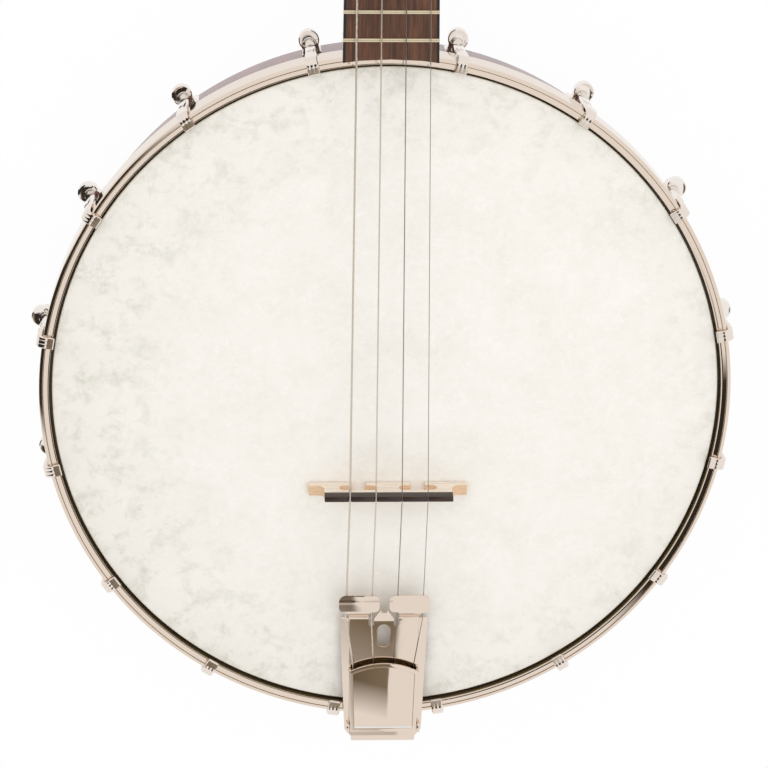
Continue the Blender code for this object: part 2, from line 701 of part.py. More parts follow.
def make_neck(pot, peghead):
    mahogany = make_material("mahogany_neck", (0.14, 0.045, 0.025), 0.3)
    neck = add_object("neck", mesh_of(neck_shape(), "neck"), pot, mahogany)
    plate = prism(peghead_outline(), -PEGHEAD_THICKNESS, 0.0)
    blank = add_helper("peghead_blank", mesh_of(plate, "peghead_blank"), peghead)
    combine(neck, blank, "UNION")
    envelope = add_helper("pot_envelope", mesh_of(pot_envelope(CLEARANCE), "envelope"), pot)
    combine(neck, envelope, "DIFFERENCE")
    holes = bmesh.new()
    for x, y in tuner_places():
        low = (x, y, -2 * PEGHEAD_THICKNESS)
        add_cylinder(holes, low, (x, y, PEGHEAD_THICKNESS), BARREL_RADIUS + CLEARANCE)
    tuner_holes = add_helper("tuner_holes", mesh_of(holes, "tuner_holes"), peghead)
    combine(neck, tuner_holes, "DIFFERENCE")
    hole = bmesh.new()
    start = (0, RIM_INNER, COORDINATOR_HEIGHT)
    end = (0, RIM_RADIUS + COORDINATOR_IN_HEEL + CLEARANCE, COORDINATOR_HEIGHT)
    add_cylinder(hole, start, end, COORDINATOR_RADIUS + CLEARANCE)
    heel_hole = add_helper("heel_hole", mesh_of(hole, "heel_hole"), pot)
    combine(neck, heel_hole, "DIFFERENCE")


def fret_places():
    """Frets at equal-tempered distances that lie on the fingerboard."""
    places = [NUT_Y - SCALE_LENGTH * (1 - 2 ** (-n / 12)) for n in range(1, FRETS + 1)]
    return [y for y in places if y > HOOP_RADIUS + FRET_WIDTH]


def make_fingerboard(pot):
    """The board's side view, with a crown for each fret, stretched from edge to edge."""
    crown = ((-0.5, 0.0), (-0.36, 0.75), (-0.12, 1.0), (0.12, 1.0), (0.36, 0.75), (0.5, 0.0))
    side = [(RIM_RADIUS / 2, BOARD_BOTTOM), (RIM_RADIUS / 2, BOARD_TOP)]
    for y in reversed(fret_places()):
        side += [(y + FRET_WIDTH * a, BOARD_TOP + FRET_HEIGHT * b) for a, b in crown]
    far = NUT_Y - CLEARANCE
    side += [(far, BOARD_TOP), (far, BOARD_BOTTOM)]
    rings = [[(sign * neck_half_width(y), y, z) for y, z in side] for sign in (-1, 1)]
    rosewood = make_material("rosewood_board", (0.10, 0.035, 0.018), 0.45)
    board = add_object("fingerboard", mesh_of(loft(rings), "fingerboard"), pot, rosewood)
    end = mesh_of(pot_envelope(-BOARD_OVER_HOOP), "board_end")
    board_end = add_helper("board_end", end, pot)
    combine(board, board_end, "DIFFERENCE")


def slot_cutter(places, low, high, near, far):
    """Boxes for the string slots, from (side, half width) pairs."""
    bm = bmesh.new()
    for side, half in places:
        add_box(bm, (side - half, near, low), (side + half, far, high))
    return bm


def make_nut(pot):
    half = neck_half_width(NUT_Y) - CLEARANCE
    bottom = NECK_TOP + CLEARANCE
    edge = NUT_LENGTH / 4
    far = NUT_Y + NUT_LENGTH
    side = [(NUT_Y, bottom), (NUT_Y, NUT_TOP), (far - edge, NUT_TOP), (far, NUT_TOP - edge)]
    side.append((far, bottom))
    rings = [[(sign * half, y, z) for y, z in side] for sign in (-1, 1)]
    bone = make_material("bone_nut", (0.80, 0.76, 0.66), 0.4)
    nut = add_object("nut", mesh_of(loft(rings), "nut"), pot, bone)
    gaps = []
    for index, radius in enumerate(STRING_RADII):
        gaps.append((string_side(index, SPACING_AT_NUT), radius + CLEARANCE))
    floor = NUT_TOP - SLOT_DEPTH_AT_NUT
    cutter = slot_cutter(gaps, floor, NUT_TOP + edge, NUT_Y - edge, far + edge)
    slots = add_helper("nut_slots", mesh_of(cutter, "nut_slots"), pot)
    combine(nut, slots, "DIFFERENCE")


def bridge_outline():
    """Seen along the strings: three feet, with a slot over the gap between two of them."""
    toe = BRIDGE_TOE_HEIGHT
    round_end = BRIDGE_SLOT_HEIGHT / 2
    slot_top = toe + BRIDGE_SLOT_HEIGHT
    slot_end = BRIDGE_SLOT_START + BRIDGE_SLOT_LENGTH
    gap_end = BRIDGE_GAP_START + BRIDGE_GAP
    cap = BRIDGE_CAP_LENGTH / 2
    right = [
        (BRIDGE_GAP_START, 0.0, 0.0),
        (BRIDGE_GAP_START, toe, 0.0),
        (BRIDGE_SLOT_START, toe, round_end),
        (BRIDGE_SLOT_START, slot_top, round_end),
        (slot_end, slot_top, round_end),
        (slot_end, toe, round_end),
        (gap_end, toe, 0.0),
        (gap_end, 0.0, 0.0),
        (BRIDGE_LENGTH / 2, 0.0, 0.0),
        (BRIDGE_LENGTH / 2, toe, 0.0),
        (cap, toe, BRIDGE_SWEEP),
        (cap, BRIDGE_HEIGHT, 0.0),
    ]
    left = [(-x, z, radius) for x, z, radius in reversed(right)]
    return filleted(right + left)


def make_bridge(pot):
    seat = HEAD_TOP + CLEARANCE
    taper = (BRIDGE_TOP_THICKNESS - BRIDGE_FOOT_THICKNESS) / BRIDGE_HEIGHT
    rings = []
    for sign in (-1, 1):
        ring = []
        for x, z in bridge_outline():
            half = (BRIDGE_FOOT_THICKNESS + taper * z) / 2
            ring.append((BRIDGE_TO_TREBLE + x, BRIDGE_Y + sign * half, seat + z))
        rings.append(ring)
    maple = make_material("maple_bridge", (0.75, 0.50, 0.30), 0.5)
    bridge = add_object("bridge", mesh_of(loft(rings), "bridge"), pot, maple)
    gaps = []
    for index, radius in enumerate(STRING_RADII):
        side = BRIDGE_TO_TREBLE + string_side(index, SPACING_AT_BRIDGE)
        gaps.append((side, radius + CLEARANCE))
    floor = BRIDGE_TOP - SLOT_DEPTH_AT_BRIDGE
    near = BRIDGE_Y - BRIDGE_FOOT_THICKNESS
    far = BRIDGE_Y + BRIDGE_FOOT_THICKNESS
    cutter = slot_cutter(gaps, floor, BRIDGE_TOP + BRIDGE_CAP_HEIGHT, near, far)
    slots = add_helper("bridge_slots", mesh_of(cutter, "bridge_slots"), pot)
    combine(bridge, slots, "DIFFERENCE")


def make_coordinator_rod(pot):
    """A rod from the tail through the pot into the heel, with a nut inside each wall."""
    level = COORDINATOR_HEIGHT
    tail = -(RIM_RADIUS - RIM_WALL / 2) + CLEARANCE
    heel = RIM_RADIUS + COORDINATOR_IN_HEEL
    bar = bmesh.new()
    add_cylinder(bar, (0, tail, level), (0, heel, level), COORDINATOR_RADIUS)
    steel = make_material("steel_rod", (0.62, 0.60, 0.57), 0.25, 1.0)
    rod = add_object("coordinator_rod", mesh_of(bar, "coordinator_rod"), pot, steel)
    hollow = RIM_INNER - math.sqrt(RIM_INNER**2 - COORDINATOR_NUT_RADIUS**2)
    seat = RIM_INNER - hollow - CLEARANCE
    nuts = bmesh.new()
    for sign in (-1, 1):
        start = (0, sign * seat, level)
        end = (0, sign * (seat - COORDINATOR_NUT_HEIGHT), level)
        add_cylinder(nuts, start, end, COORDINATOR_NUT_RADIUS, 6)
    rod_nuts = add_helper("rod_nuts", mesh_of(nuts, "rod_nuts"), pot)
    combine(rod, rod_nuts, "UNION")


def make_tail_bolt(pot):
    """A bolt from the rim through a sleeve and the tailpiece, with a domed cap nut."""
    shank = TAIL_BOLT_RADIUS
    start = RIM_RADIUS - RIM_WALL / 2 + CLEARANCE
    sleeve_start = RIM_RADIUS + CLEARANCE
    tongue = -TAIL_BACK
    sleeve_end = tongue - SHEET - CLEARANCE
    cap = tongue + CLEARANCE
    profile = [
        (0.0, start),
        (shank, start),
        (shank, sleeve_start),
        (TAIL_SLEEVE_RADIUS, sleeve_start),
        (TAIL_SLEEVE_RADIUS, sleeve_end),
        (shank, sleeve_end),
        (shank, cap),
        (TAIL_CAP_RADIUS, cap),
        (TAIL_CAP_RADIUS, cap + TAIL_CAP_HEIGHT * 0.45),
        (TAIL_CAP_RADIUS * 0.75, cap + TAIL_CAP_HEIGHT * 0.85),
        (0.0, cap + TAIL_CAP_HEIGHT),
    ]
    place = Matrix.Translation((0.0, 0.0, COORDINATOR_HEIGHT)) @ Matrix.Rotation(
        math.pi / 2, 4, "X"
    )
    nickel = make_material("nickel_bolt", (0.78, 0.74, 0.68), 0.15, 1.0)
    mesh = mesh_of(turned(profile, ROUND_STEPS), "tail_hanger_bolt")
    add_object("tail_hanger_bolt", mesh, pot, nickel, place)


def tail_outline():
    """The flat sheet before it is bent: two fingers, the plate and the tongue."""
    notch = TAIL_NOTCH_Y
    front = TAIL_FRONT_Y
    lobe = front - LOBE_LENGTH
    waist = (WAIST_INNER, WAIST_OUTER)
    inner = FINGER_GAP / 2
    outer = FINGER_SPAN / 2
    fillet = 1.8 * MM
    straight = TAIL_BOTTOM - TAIL_BEND - (COORDINATOR_HEIGHT - TONGUE_BELOW_BOLT)
    end = TAIL_BEND_Y - math.pi / 2 * TAIL_BEND - straight
    pocket = notch - STRING_NOTCH_DEPTH
    right = [
        (waist[0] - STRING_NOTCH_WIDTH, notch, fillet / 4),
        (waist[0] - STRING_NOTCH_WIDTH, pocket, fillet / 2),
        (waist[0], pocket, fillet / 2),
        (waist[0], lobe - fillet, fillet / 2),
        (inner, lobe, fillet / 2),
        (inner, front, fillet / 2),
        (outer, front, fillet),
        (outer, lobe, fillet),
        (waist[1], lobe - fillet, fillet),
        (waist[1], notch + fillet / 4, fillet / 4),
        (TAIL_FRONT_WIDTH / 2, notch, fillet / 2),
        (TAIL_BACK_WIDTH / 2, TAIL_BEND_Y + 1.0 * MM, fillet / 2),
        (TONGUE_TOP_WIDTH / 2, TAIL_BEND_Y, 0.0),
        (TONGUE_END_WIDTH / 2, end, 2 * fillet),
    ]
    left = [(-x, y, radius) for x, y, radius in reversed(right)]
    return filleted(right + left)


def bend_sheet(bm):
    """Folds the flat sheet: lifted fingers, sloping sides and a tongue turned down."""
    lift = lobe_bottom() - TAIL_BOTTOM
    ramp = FINGER_LENGTH - LOBE_LENGTH
    for vert in bm.verts:
        x, y, z = vert.co
        if y > TAIL_NOTCH_Y + CLEARANCE:
            vert.co.z += lift * smooth_step((y - TAIL_NOTCH_Y) / ramp)
        elif y > TAIL_BEND_Y:
            vert.co.z -= max(abs(x) - WAIST_OUTER, 0.0) * TAIL_FLANGE_SLOPE
        else:
            run = TAIL_BEND_Y - y
            turn = min(run / TAIL_BEND, math.pi / 2)
            radius = TAIL_BEND + z - TAIL_BOTTOM
            vert.co.y = TAIL_BEND_Y - radius * math.sin(turn)
            vert.co.z = TAIL_BOTTOM - TAIL_BEND + radius * math.cos(turn)
            vert.co.z -= run - turn * TAIL_BEND


def split(bm, place, normal):
    geometry = bm.verts[:] + bm.edges[:] + bm.faces[:]
    bmesh.ops.bisect_plane(bm, geom=geometry, dist=0.001 * MM, plane_co=place, plane_no=normal)


def oval(centre_y, length, width):
    """A slot outline with round ends, long along Y."""
    straight = (length - width) / 2
    points = []
    for step in range(12):
        angle = math.tau * (step + 0.5) / 12
        y = centre_y + math.copysign(straight, math.sin(angle))
        points.append((width / 2 * math.cos(angle), y + width / 2 * math.sin(angle)))
    return points


def cover_half_width(y):
    share = (y - COVER_BACK_Y) / COVER_LENGTH
    return (COVER_BACK_WIDTH + (COVER_WIDTH - COVER_BACK_WIDTH) * share) / 2


def ear_inner_face():
    return cover_half_width(PIN_Y + 2.5 * PIN_RADIUS) + CLEARANCE


def tail_fittings():
    """What stands on the plate: ears for the hinge pin, and a peg for each string."""
    bm = bmesh.new()
    ear = ear_inner_face()
    sunk = TAIL_TOP - SHEET / 2
    ear_low = TAIL_TOP - 1.1 * SHEET
    back = PIN_Y - 2.5 * PIN_RADIUS
    front = PIN_Y + 2.5 * PIN_RADIUS
    for sign in (-1, 1):
        sides = sorted((sign * ear, sign * (ear + EAR_THICKNESS)))
        add_box(bm, (sides[0], back, ear_low), (sides[1], front, PIN_Z + 2.2 * PIN_RADIUS))
    for index in range(len(STRING_RADII)):
        x = string_side(index, SPACING_AT_PEGS)
        top = TAIL_TOP + COVER_ROOM / 2
        add_cylinder(bm, (x, PEG_Y, sunk), (x, PEG_Y, top), PEG_RADIUS, 8)
    return bm


def make_tailpiece_frame(pot):
    bm = prism(tail_outline(), TAIL_BOTTOM, TAIL_TOP)
    for sign in (-1, 1):
        split(bm, (sign * WAIST_OUTER, 0, 0), (1, 0, 0))
    ramp = FINGER_LENGTH - LOBE_LENGTH
    for share in (0.0, 0.33, 0.67, 1.0):
        split(bm, (0, TAIL_NOTCH_Y + ramp * share, 0), (0, 1, 0))
    for step in range(5):
        split(bm, (0, TAIL_BEND_Y - TAIL_BEND * math.pi / 8 * step, 0), (0, 1, 0))
    bmesh.ops.triangulate(bm, faces=bm.faces)
    bend_sheet(bm)
    nickel = make_material("nickel_tailpiece", (0.72, 0.66, 0.58), 0.1, 1.0)
    frame = add_object("tailpiece_frame", mesh_of(bm, "tailpiece_frame"), pot, nickel)
    fittings = add_helper("tail_fittings", mesh_of(tail_fittings(), "tail_fittings"), pot)
    combine(frame, fittings, "UNION")
    cutters = prism(
        oval(TAIL_NOTCH_Y - OVAL_LENGTH / 2 - SHEET, OVAL_LENGTH, OVAL_WIDTH),
        TAIL_BOTTOM - SHEET,
        TAIL_TOP + SHEET,
    )
    across = COVER_WIDTH
    add_cylinder(cutters, (-across, PIN_Y, PIN_Z), (across, PIN_Y, PIN_Z), PIN_RADIUS + CLEARANCE)
    level = COORDINATOR_HEIGHT
    start = (0, TAIL_BACK - TAIL_CAP_HEIGHT, level)
    end = (0, TAIL_BACK + TAIL_CAP_HEIGHT, level)
    add_cylinder(cutters, start, end, TAIL_BOLT_RADIUS + CLEARANCE)
    tail_holes = add_helper("tail_holes", mesh_of(cutters, "tail_holes"), pot)
    combine(frame, tail_holes, "DIFFERENCE")


def cover_outline():
    """The cover from above, a little wider in front, where its edge is bowed."""
    half = COVER_WIDTH / 2
    back_half = cover_half_width(COVER_BACK_Y)
    points = [(-back_half, COVER_BACK_Y), (back_half, COVER_BACK_Y)]
    arc_steps = 8
    for step in range(arc_steps + 1):
        x = half * (1 - 2 * step / arc_steps)
        bow = COVER_ARCH * (1 - (x / half) ** 2)
        points.append((x, COVER_FRONT_Y + bow))
    return points


def make_cover(pot):
    """A shallow lid over the string ends, whose origin is on the hinge pin."""
    hinge = Matrix.Translation((0.0, PIN_Y, PIN_Z))
    low = TAIL_TOP + 2 * CLEARANCE
    lid = prism(cover_outline(), low, COVER_BOTTOM + COVER_SHEET)
    bmesh.ops.transform(lid, matrix=hinge.inverted(), verts=lid.verts)
    nickel = make_material("nickel_cover", (0.74, 0.68, 0.60), 0.08, 1.0)
    cover = add_object("tailpiece_cover", mesh_of(lid, "tailpiece_cover"), pot, nickel, hinge)
    knuckle = bmesh.new()
    radius = PIN_RADIUS + 0.9 * COVER_SHEET
    end = cover_half_width(COVER_BACK_Y) - 0.1 * COVER_SHEET
    add_cylinder(knuckle, (-end, 0, 0), (end, 0, 0), radius)
    knuckle_helper = add_helper("cover_knuckle", mesh_of(knuckle, "cover_knuckle"), cover)
    combine(cover, knuckle_helper, "UNION")
    outline = []
    for y in (PIN_Y - 3 * radius, COVER_FRONT_Y + 2 * COVER_ARCH):
        inside = cover_half_width(y) - COVER_SHEET
        outline += sorted([(-inside, y - PIN_Y), (inside, y - PIN_Y)], reverse=bool(outline))
    pocket = prism(outline, -2 * radius, COVER_BOTTOM - PIN_Z)
    pocket_helper = add_helper("cover_pocket", mesh_of(pocket, "cover_pocket"), cover)
    combine(cover, pocket_helper, "DIFFERENCE")
    bore = bmesh.new()
    add_cylinder(bore, (-COVER_WIDTH, 0, 0), (COVER_WIDTH, 0, 0), PIN_RADIUS + CLEARANCE)
    bore_helper = add_helper("cover_bore", mesh_of(bore, "cover_bore"), cover)
    combine(cover, bore_helper, "DIFFERENCE")


def make_hinge_pin(pot):
    """A plain pin through the cover, flush with the outer faces of the ears."""
    end = ear_inner_face() + EAR_THICKNESS
    pin = bmesh.new()
    add_cylinder(pin, (-end, 0, 0), (end, 0, 0), PIN_RADIUS, 12)
    place = Matrix.Translation((0.0, PIN_Y, PIN_Z))
    steel = make_material("steel_pin", (0.62, 0.60, 0.57), 0.3, 1.0)
    mesh = mesh_of(pin, "tailpiece_hinge_pin")
    add_object("tailpiece_hinge_pin", mesh, pot, steel, place)


def tuner_case_profile():
    """A tube through the peghead, with a flange in front and the gear housing behind."""
    bore = POST_RADIUS + CLEARANCE
    back = -PEGHEAD_THICKNESS - CLEARANCE
    end = back - HOUSING_HEIGHT
    edge = 1.0 * MM
    return [
        (bore, end),
        (bore, FLANGE_HEIGHT + CLEARANCE),
        (FLANGE_RADIUS - edge, FLANGE_HEIGHT + CLEARANCE),
        (FLANGE_RADIUS, CLEARANCE),
        (BARREL_RADIUS, CLEARANCE),
        (BARREL_RADIUS, back),
        (HOUSING_RADIUS, back),
        (HOUSING_RADIUS, end + edge),
        (HOUSING_RADIUS - edge, end),
    ]


def tuner_post_profile():
    """The string post, which turns inside the case."""
    start = -PEGHEAD_THICKNESS / 2
    wound = FLANGE_HEIGHT + 2 * CLEARANCE
    span = POST_HEIGHT - wound
    return [
        (0.0, start),
        (POST_RADIUS, start),
        (POST_RADIUS, wound + 0.15 * span),
        (POST_WAIST, wound + 0.25 * span),
        (POST_WAIST, wound + 0.70 * span),
        (POST_RADIUS, wound + 0.82 * span),
        (POST_RADIUS, POST_HEIGHT - 0.08 * span),
        (POST_RADIUS * 0.7, POST_HEIGHT),
        (0.0, POST_HEIGHT),
    ]


def tuner_button_profile():
    """The round knob behind the housing, on its own shaft."""
    start = -PEGHEAD_THICKNESS / 2 - CLEARANCE
    face = -PEGHEAD_THICKNESS - HOUSING_HEIGHT - 2 * CLEARANCE
    end = face - BUTTON_HEIGHT
    edge = 2.0 * MM
    return [
        (0.0, end),
        (BUTTON_RADIUS - edge, end),
        (BUTTON_RADIUS, end + edge),
        (BUTTON_RADIUS, face - edge - BUTTON_HEIGHT / 4),
        (BUTTON_RADIUS - edge, face - BUTTON_HEIGHT / 4),
        (POST_RADIUS * 1.6, face),
        (POST_RADIUS, face),
        (POST_RADIUS, start),
        (0.0, start),
    ]


def make_tuners(peghead):
    nickel = make_material("nickel_tuner_case", (0.76, 0.72, 0.66), 0.18, 1.0)
    polished = make_material("nickel_post", (0.78, 0.75, 0.70), 0.15, 1.0)
    pearl = make_material("pearloid_button", (0.80, 0.78, 0.70), 0.3)
    pieces = (
        ("tuner_case", tuner_case_profile(), nickel),
        ("tuner_post", tuner_post_profile(), polished),
        ("tuner_button", tuner_button_profile(), pearl),
    )
    meshes = []
    for name, profile, material in pieces:
        meshes.append((name, mesh_of(turned(profile, ROUND_STEPS), name), material))
    for number, (x, y) in enumerate(tuner_places(), 1):
        axis = add_empty(f"tuner_axis_{number}", peghead, Matrix.Translation((x, y, 0.0)))
        for name, mesh, material in meshes:
            add_object(f"{name}_{number}", mesh, axis, material)


def string_winding(index, radius, start):
    """From the nut to the post and round its waist, in the peghead's own frame."""
    x, y = tuner_places()[index]
    sign = -1 if x < 0 else 1
    wound = POST_WAIST + radius + CLEARANCE
    wrap = FLANGE_HEIGHT + 2 * CLEARANCE
    level = wrap + (POST_HEIGHT - wrap) * 0.66 - radius
    to_post = Vector((x, y)) - Vector((start.x, start.y))
    bearing = math.atan2(to_post.y, to_post.x)
    lean = math.asin(wound / to_post.length)
    touch = bearing + sign * (math.pi / 2 + lean)
    pitch = 2 * radius + STRING_TURN_GAP
    points = []
    steps = 12
    for step in range(int(STRING_TURNS * steps) + 1):
        angle = touch - sign * math.tau * step / steps
        drop = pitch * step / steps
        points.append(
            Vector((x + wound * math.cos(angle), y + wound * math.sin(angle), level - drop))
        )
    return points


def string_route(index, radius):
    """Centre line from the tailpiece to the post, all in the pot's frame."""
    at_nut, at_bridge, on_tail = string_heights(radius)
    at_peg = string_side(index, SPACING_AT_PEGS)
    covered = string_side(index, SPACING_UNDER_COVER)
    at_lobe = string_side(index, SPACING_AT_BRIDGE)
    nut_side = string_side(index, SPACING_AT_NUT)
    route = [
        Vector((at_peg, PEG_Y + PEG_RADIUS + 2 * CLEARANCE, on_tail)),
        Vector((covered, COVER_FRONT_Y, on_tail)),
        Vector((at_lobe, TAIL_NOTCH_Y, on_tail)),
        Vector((at_lobe + BRIDGE_TO_TREBLE, BRIDGE_Y, at_bridge)),
        Vector((nut_side, NUT_Y, at_nut)),
    ]
    inverse = peghead_matrix().inverted()
    winding = string_winding(index, radius, inverse @ route[-1])
    over_nut = Vector((nut_side, NUT_Y + NUT_LENGTH / 2, at_nut))
    route.append(over_nut)
    route += [peghead_matrix() @ point for point in winding]
    return route


def make_strings(pot):
    steel = make_material("steel_string", (0.60, 0.58, 0.55), 0.3, 1.0)
    bronze = make_material("wound_string", (0.62, 0.56, 0.48), 0.4, 1.0)
    for index, radius in enumerate(STRING_RADII):
        route = string_route(index, radius)
        curve = bpy.data.curves.new(f"string_{index + 1}", "CURVE")
        curve.dimensions = "3D"
        curve.bevel_depth = radius
        curve.bevel_resolution = 1
        curve.use_fill_caps = True
        spline = curve.splines.new("POLY")
        spline.points.add(len(route) - 1)
        for point, place in zip(spline.points, route):
            point.co = (*place, 1.0)
        wound = index < len(STRING_RADII) / 2
        add_object(f"string_{index + 1}", curve, pot, bronze if wound else steel)


def stand_on_origin(pot):
    """Moves the pot so that the whole instrument's box is centred over the origin."""
    bpy.context.view_layer.update()
    graph = bpy.context.evaluated_depsgraph_get()
    points = []
    for obj in bpy.data.objects:
        if obj.type != "MESH" or obj.hide_render:
            continue
        placed = obj.evaluated_get(graph)
        points += [placed.matrix_world @ vert.co for vert in placed.data.vertices]
    for axis in (0, 1):
        values = [point[axis] for point in points]
        pot.location[axis] = -(min(values) + max(values)) / 2
    pot.location.z = -min(point.z for point in points)


def main():
    clear_scene()
    pot = add_empty("pot_centre")
    peghead = add_empty("peghead_face", pot, peghead_matrix())
    make_rim(pot)
    make_head(pot)
    make_tension_hoop(pot)
    make_hooks(pot)
    make_shoes(pot)
    make_neck(pot, peghead)
    make_fingerboard(pot)
    make_nut(pot)
    make_bridge(pot)
    make_coordinator_rod(pot)
    make_tail_bolt(pot)
    make_tailpiece_frame(pot)
    make_cover(pot)
    make_hinge_pin(pot)
    make_tuners(peghead)
    make_strings(pot)
    stand_on_origin(pot)


main()
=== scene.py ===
"""Looks of a tenor banjo that lies on its back, head up, with its neck along +Y."""

import json
import math

import bmesh
import bpy
from bpy.props import FloatProperty, FloatVectorProperty, IntProperty, PointerProperty
from mathutils import Matrix, Vector

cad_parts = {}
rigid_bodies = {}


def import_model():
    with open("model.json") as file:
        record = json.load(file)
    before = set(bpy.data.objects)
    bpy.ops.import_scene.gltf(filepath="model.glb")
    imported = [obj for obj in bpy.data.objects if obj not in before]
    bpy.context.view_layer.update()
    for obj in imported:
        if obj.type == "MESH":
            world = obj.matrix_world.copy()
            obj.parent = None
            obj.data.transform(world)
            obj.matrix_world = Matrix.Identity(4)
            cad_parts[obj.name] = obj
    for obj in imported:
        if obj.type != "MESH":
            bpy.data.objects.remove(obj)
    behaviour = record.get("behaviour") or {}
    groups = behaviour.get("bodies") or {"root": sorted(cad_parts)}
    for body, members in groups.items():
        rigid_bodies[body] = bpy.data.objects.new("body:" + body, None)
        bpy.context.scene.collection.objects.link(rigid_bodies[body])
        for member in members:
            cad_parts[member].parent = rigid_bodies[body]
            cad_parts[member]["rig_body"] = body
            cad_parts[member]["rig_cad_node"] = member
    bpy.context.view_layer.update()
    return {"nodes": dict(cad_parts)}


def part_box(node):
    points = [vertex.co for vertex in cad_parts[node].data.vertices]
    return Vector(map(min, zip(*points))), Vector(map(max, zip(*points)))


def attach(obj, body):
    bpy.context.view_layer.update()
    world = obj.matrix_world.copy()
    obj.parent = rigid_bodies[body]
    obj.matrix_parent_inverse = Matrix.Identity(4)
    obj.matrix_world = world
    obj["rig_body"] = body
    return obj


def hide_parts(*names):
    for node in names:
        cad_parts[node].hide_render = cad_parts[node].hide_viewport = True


bl_info = {
    "name": "Tenor banjo",
    "version": (1, 0, 0),
    "blender": (4, 5, 0),
    "location": "View3D > Sidebar > Banjo",
    "description": "Builds the pieces, finishes and studio of a tenor banjo",
    "category": "Object",
}

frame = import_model()
MM = 0.001


def node_centre(node):
    low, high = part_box(node)
    return (low + high) / 2


def node_size(node):
    low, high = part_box(node)
    return high - low


# Places and sizes that the frame gives
POT = Vector((*node_centre("rim").xy, 0.0))
RIM_RADIUS = node_size("rim").x / 2
RIM_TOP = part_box("rim")[1].z
HEAD_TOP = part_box("head")[1].z
HEAD_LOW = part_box("head")[0].z
FLESH_RADIUS = node_size("head").x / 2
HOOP_RADIUS = node_size("tension_hoop").x / 2
HOOP_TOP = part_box("tension_hoop")[1].z
HOOP_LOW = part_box("tension_hoop")[0].z
HOOK_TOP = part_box("hook_01")[1].z
HOOK_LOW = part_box("hook_01")[0].z
SHOE_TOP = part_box("shoe_01")[1].z
SHOE_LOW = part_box("shoe_01")[0].z
GAP = 0.3 * MM
SHEET = 1.2 * MM
TAIL_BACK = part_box("tailpiece_frame")[0].y - POT.y
TAIL_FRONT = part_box("tailpiece_frame")[1].y - POT.y
TAIL_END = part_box("tailpiece_frame")[0].z
TAIL_LOW = HOOP_TOP + 2.8 * MM
TAIL_BEND = 2.5 * MM
TAIL_BEND_Y = TAIL_BACK + SHEET + TAIL_BEND
TAIL_NOTCH_Y = TAIL_FRONT - 12.3 * MM
LOBE = 7.6 * MM
COVER_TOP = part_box("tailpiece_cover")[1].z
COVER_BACK = TAIL_BEND_Y + 3.4 * MM
COVER_LENGTH = 27.7 * MM
PIN_Y = node_centre("tailpiece_hinge_pin").y - POT.y
PIN_Z = node_centre("tailpiece_hinge_pin").z
BRIDGE_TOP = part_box("bridge")[1].z
HOOK_NODES = sorted(name for name in frame["nodes"] if name.startswith("hook_"))
SHOE_NODES = sorted(name for name in frame["nodes"] if name.startswith("shoe_"))
STRING_NODES = sorted(name for name in frame["nodes"] if name.startswith("string_"))
TUNERS = (1, 2, 3, 4)
SHOE_PLATE = 4.3 * MM
SHOE_LEAN = 5.0

# Steps of the curved pieces
LOBE_STEPS = 6
BEND_STEPS = 8
SHOE_STEPS = 32
CORNER_STEPS = 6
PANEL_STEPS = 10

# Studio camera, placed from the middle of the pot at the height of the hook tips
CAMERA_PLACE = Vector((-67.7, 467.6, 1423.7)) * MM
CAMERA_RIGHT = Vector((0.99882, 0.01286, 0.04676))
CAMERA_UP = Vector((0.00221, 0.9511, -0.30889))
CAMERA_LENS = 167.93
CAMERA_SHIFT = -0.01875

# Studio
FLOOR_SIZE = 8.0
PAPER_TONE = 0.95
PAPER_GLOW = 0.97
SOFT_LIGHT = 0.83
ROOM_EDGE = 0.0515
ROOM_EDGE_SOFT = 0.0008
ROOM_START_NEAR = -0.4
ROOM_START_FAR = -0.36
ROOM_START_SOFT = 0.025
ROOM_END = 0.14
ROOM_END_SOFT = 0.04
ROOM_COLOUR = "#352F29"
ROOM_EDGE_COLOUR = "#857967"
LIP_SLOPE = 0.25


class BanjoSizes(bpy.types.PropertyGroup):
    """Sizes that a user would change."""

    ring_steps: IntProperty(
        name="Ring steps", description="Faces round the pot", default=288, min=48
    )
    rim_wall: FloatProperty(
        name="Rim wall",
        description="Thickness of the wooden rim",
        default=13.0 * MM,
        unit="LENGTH",
    )
    film: FloatProperty(
        name="Head film", description="Thickness of the head", default=0.6 * MM, unit="LENGTH"
    )
    hoop_lip: FloatProperty(
        name="Hoop lip",
        description="Width of the flat lip at the hoop's inner edge",
        default=0.95 * MM,
        unit="LENGTH",
    )
    hoop_slope: FloatProperty(
        name="Hoop slope",
        description="Width of the slope between the hoop's lip and its shoulder",
        default=1.4 * MM,
        unit="LENGTH",
    )
    hoop_apron: FloatProperty(
        name="Hoop apron",
        description="Thickness of the hoop's outer wall",
        default=2.1 * MM,
        unit="LENGTH",
    )
    flesh_hoop: FloatProperty(
        name="Flesh hoop",
        description="Thickness of the hoop that the head is bonded to",
        default=2.95 * MM,
        unit="LENGTH",
    )
    bridge_cap: FloatProperty(
        name="Bridge cap",
        description="Height of the dark cap on the bridge",
        default=4.7 * MM,
        unit="LENGTH",
    )


def colour_property(name, description, default):
    return FloatVectorProperty(
        name=name,
        description=description,
        default=default,
        subtype="COLOR",
        size=3,
        min=0.0,
        max=1.0,
    )


def linear(code):
    """An sRGB hex colour as linear numbers."""
    values = [int(code[start : start + 2], 16) / 255 for start in (1, 3, 5)]
    return tuple(v / 12.92 if v <= 0.04045 else ((v + 0.055) / 1.055) ** 2.4 for v in values)


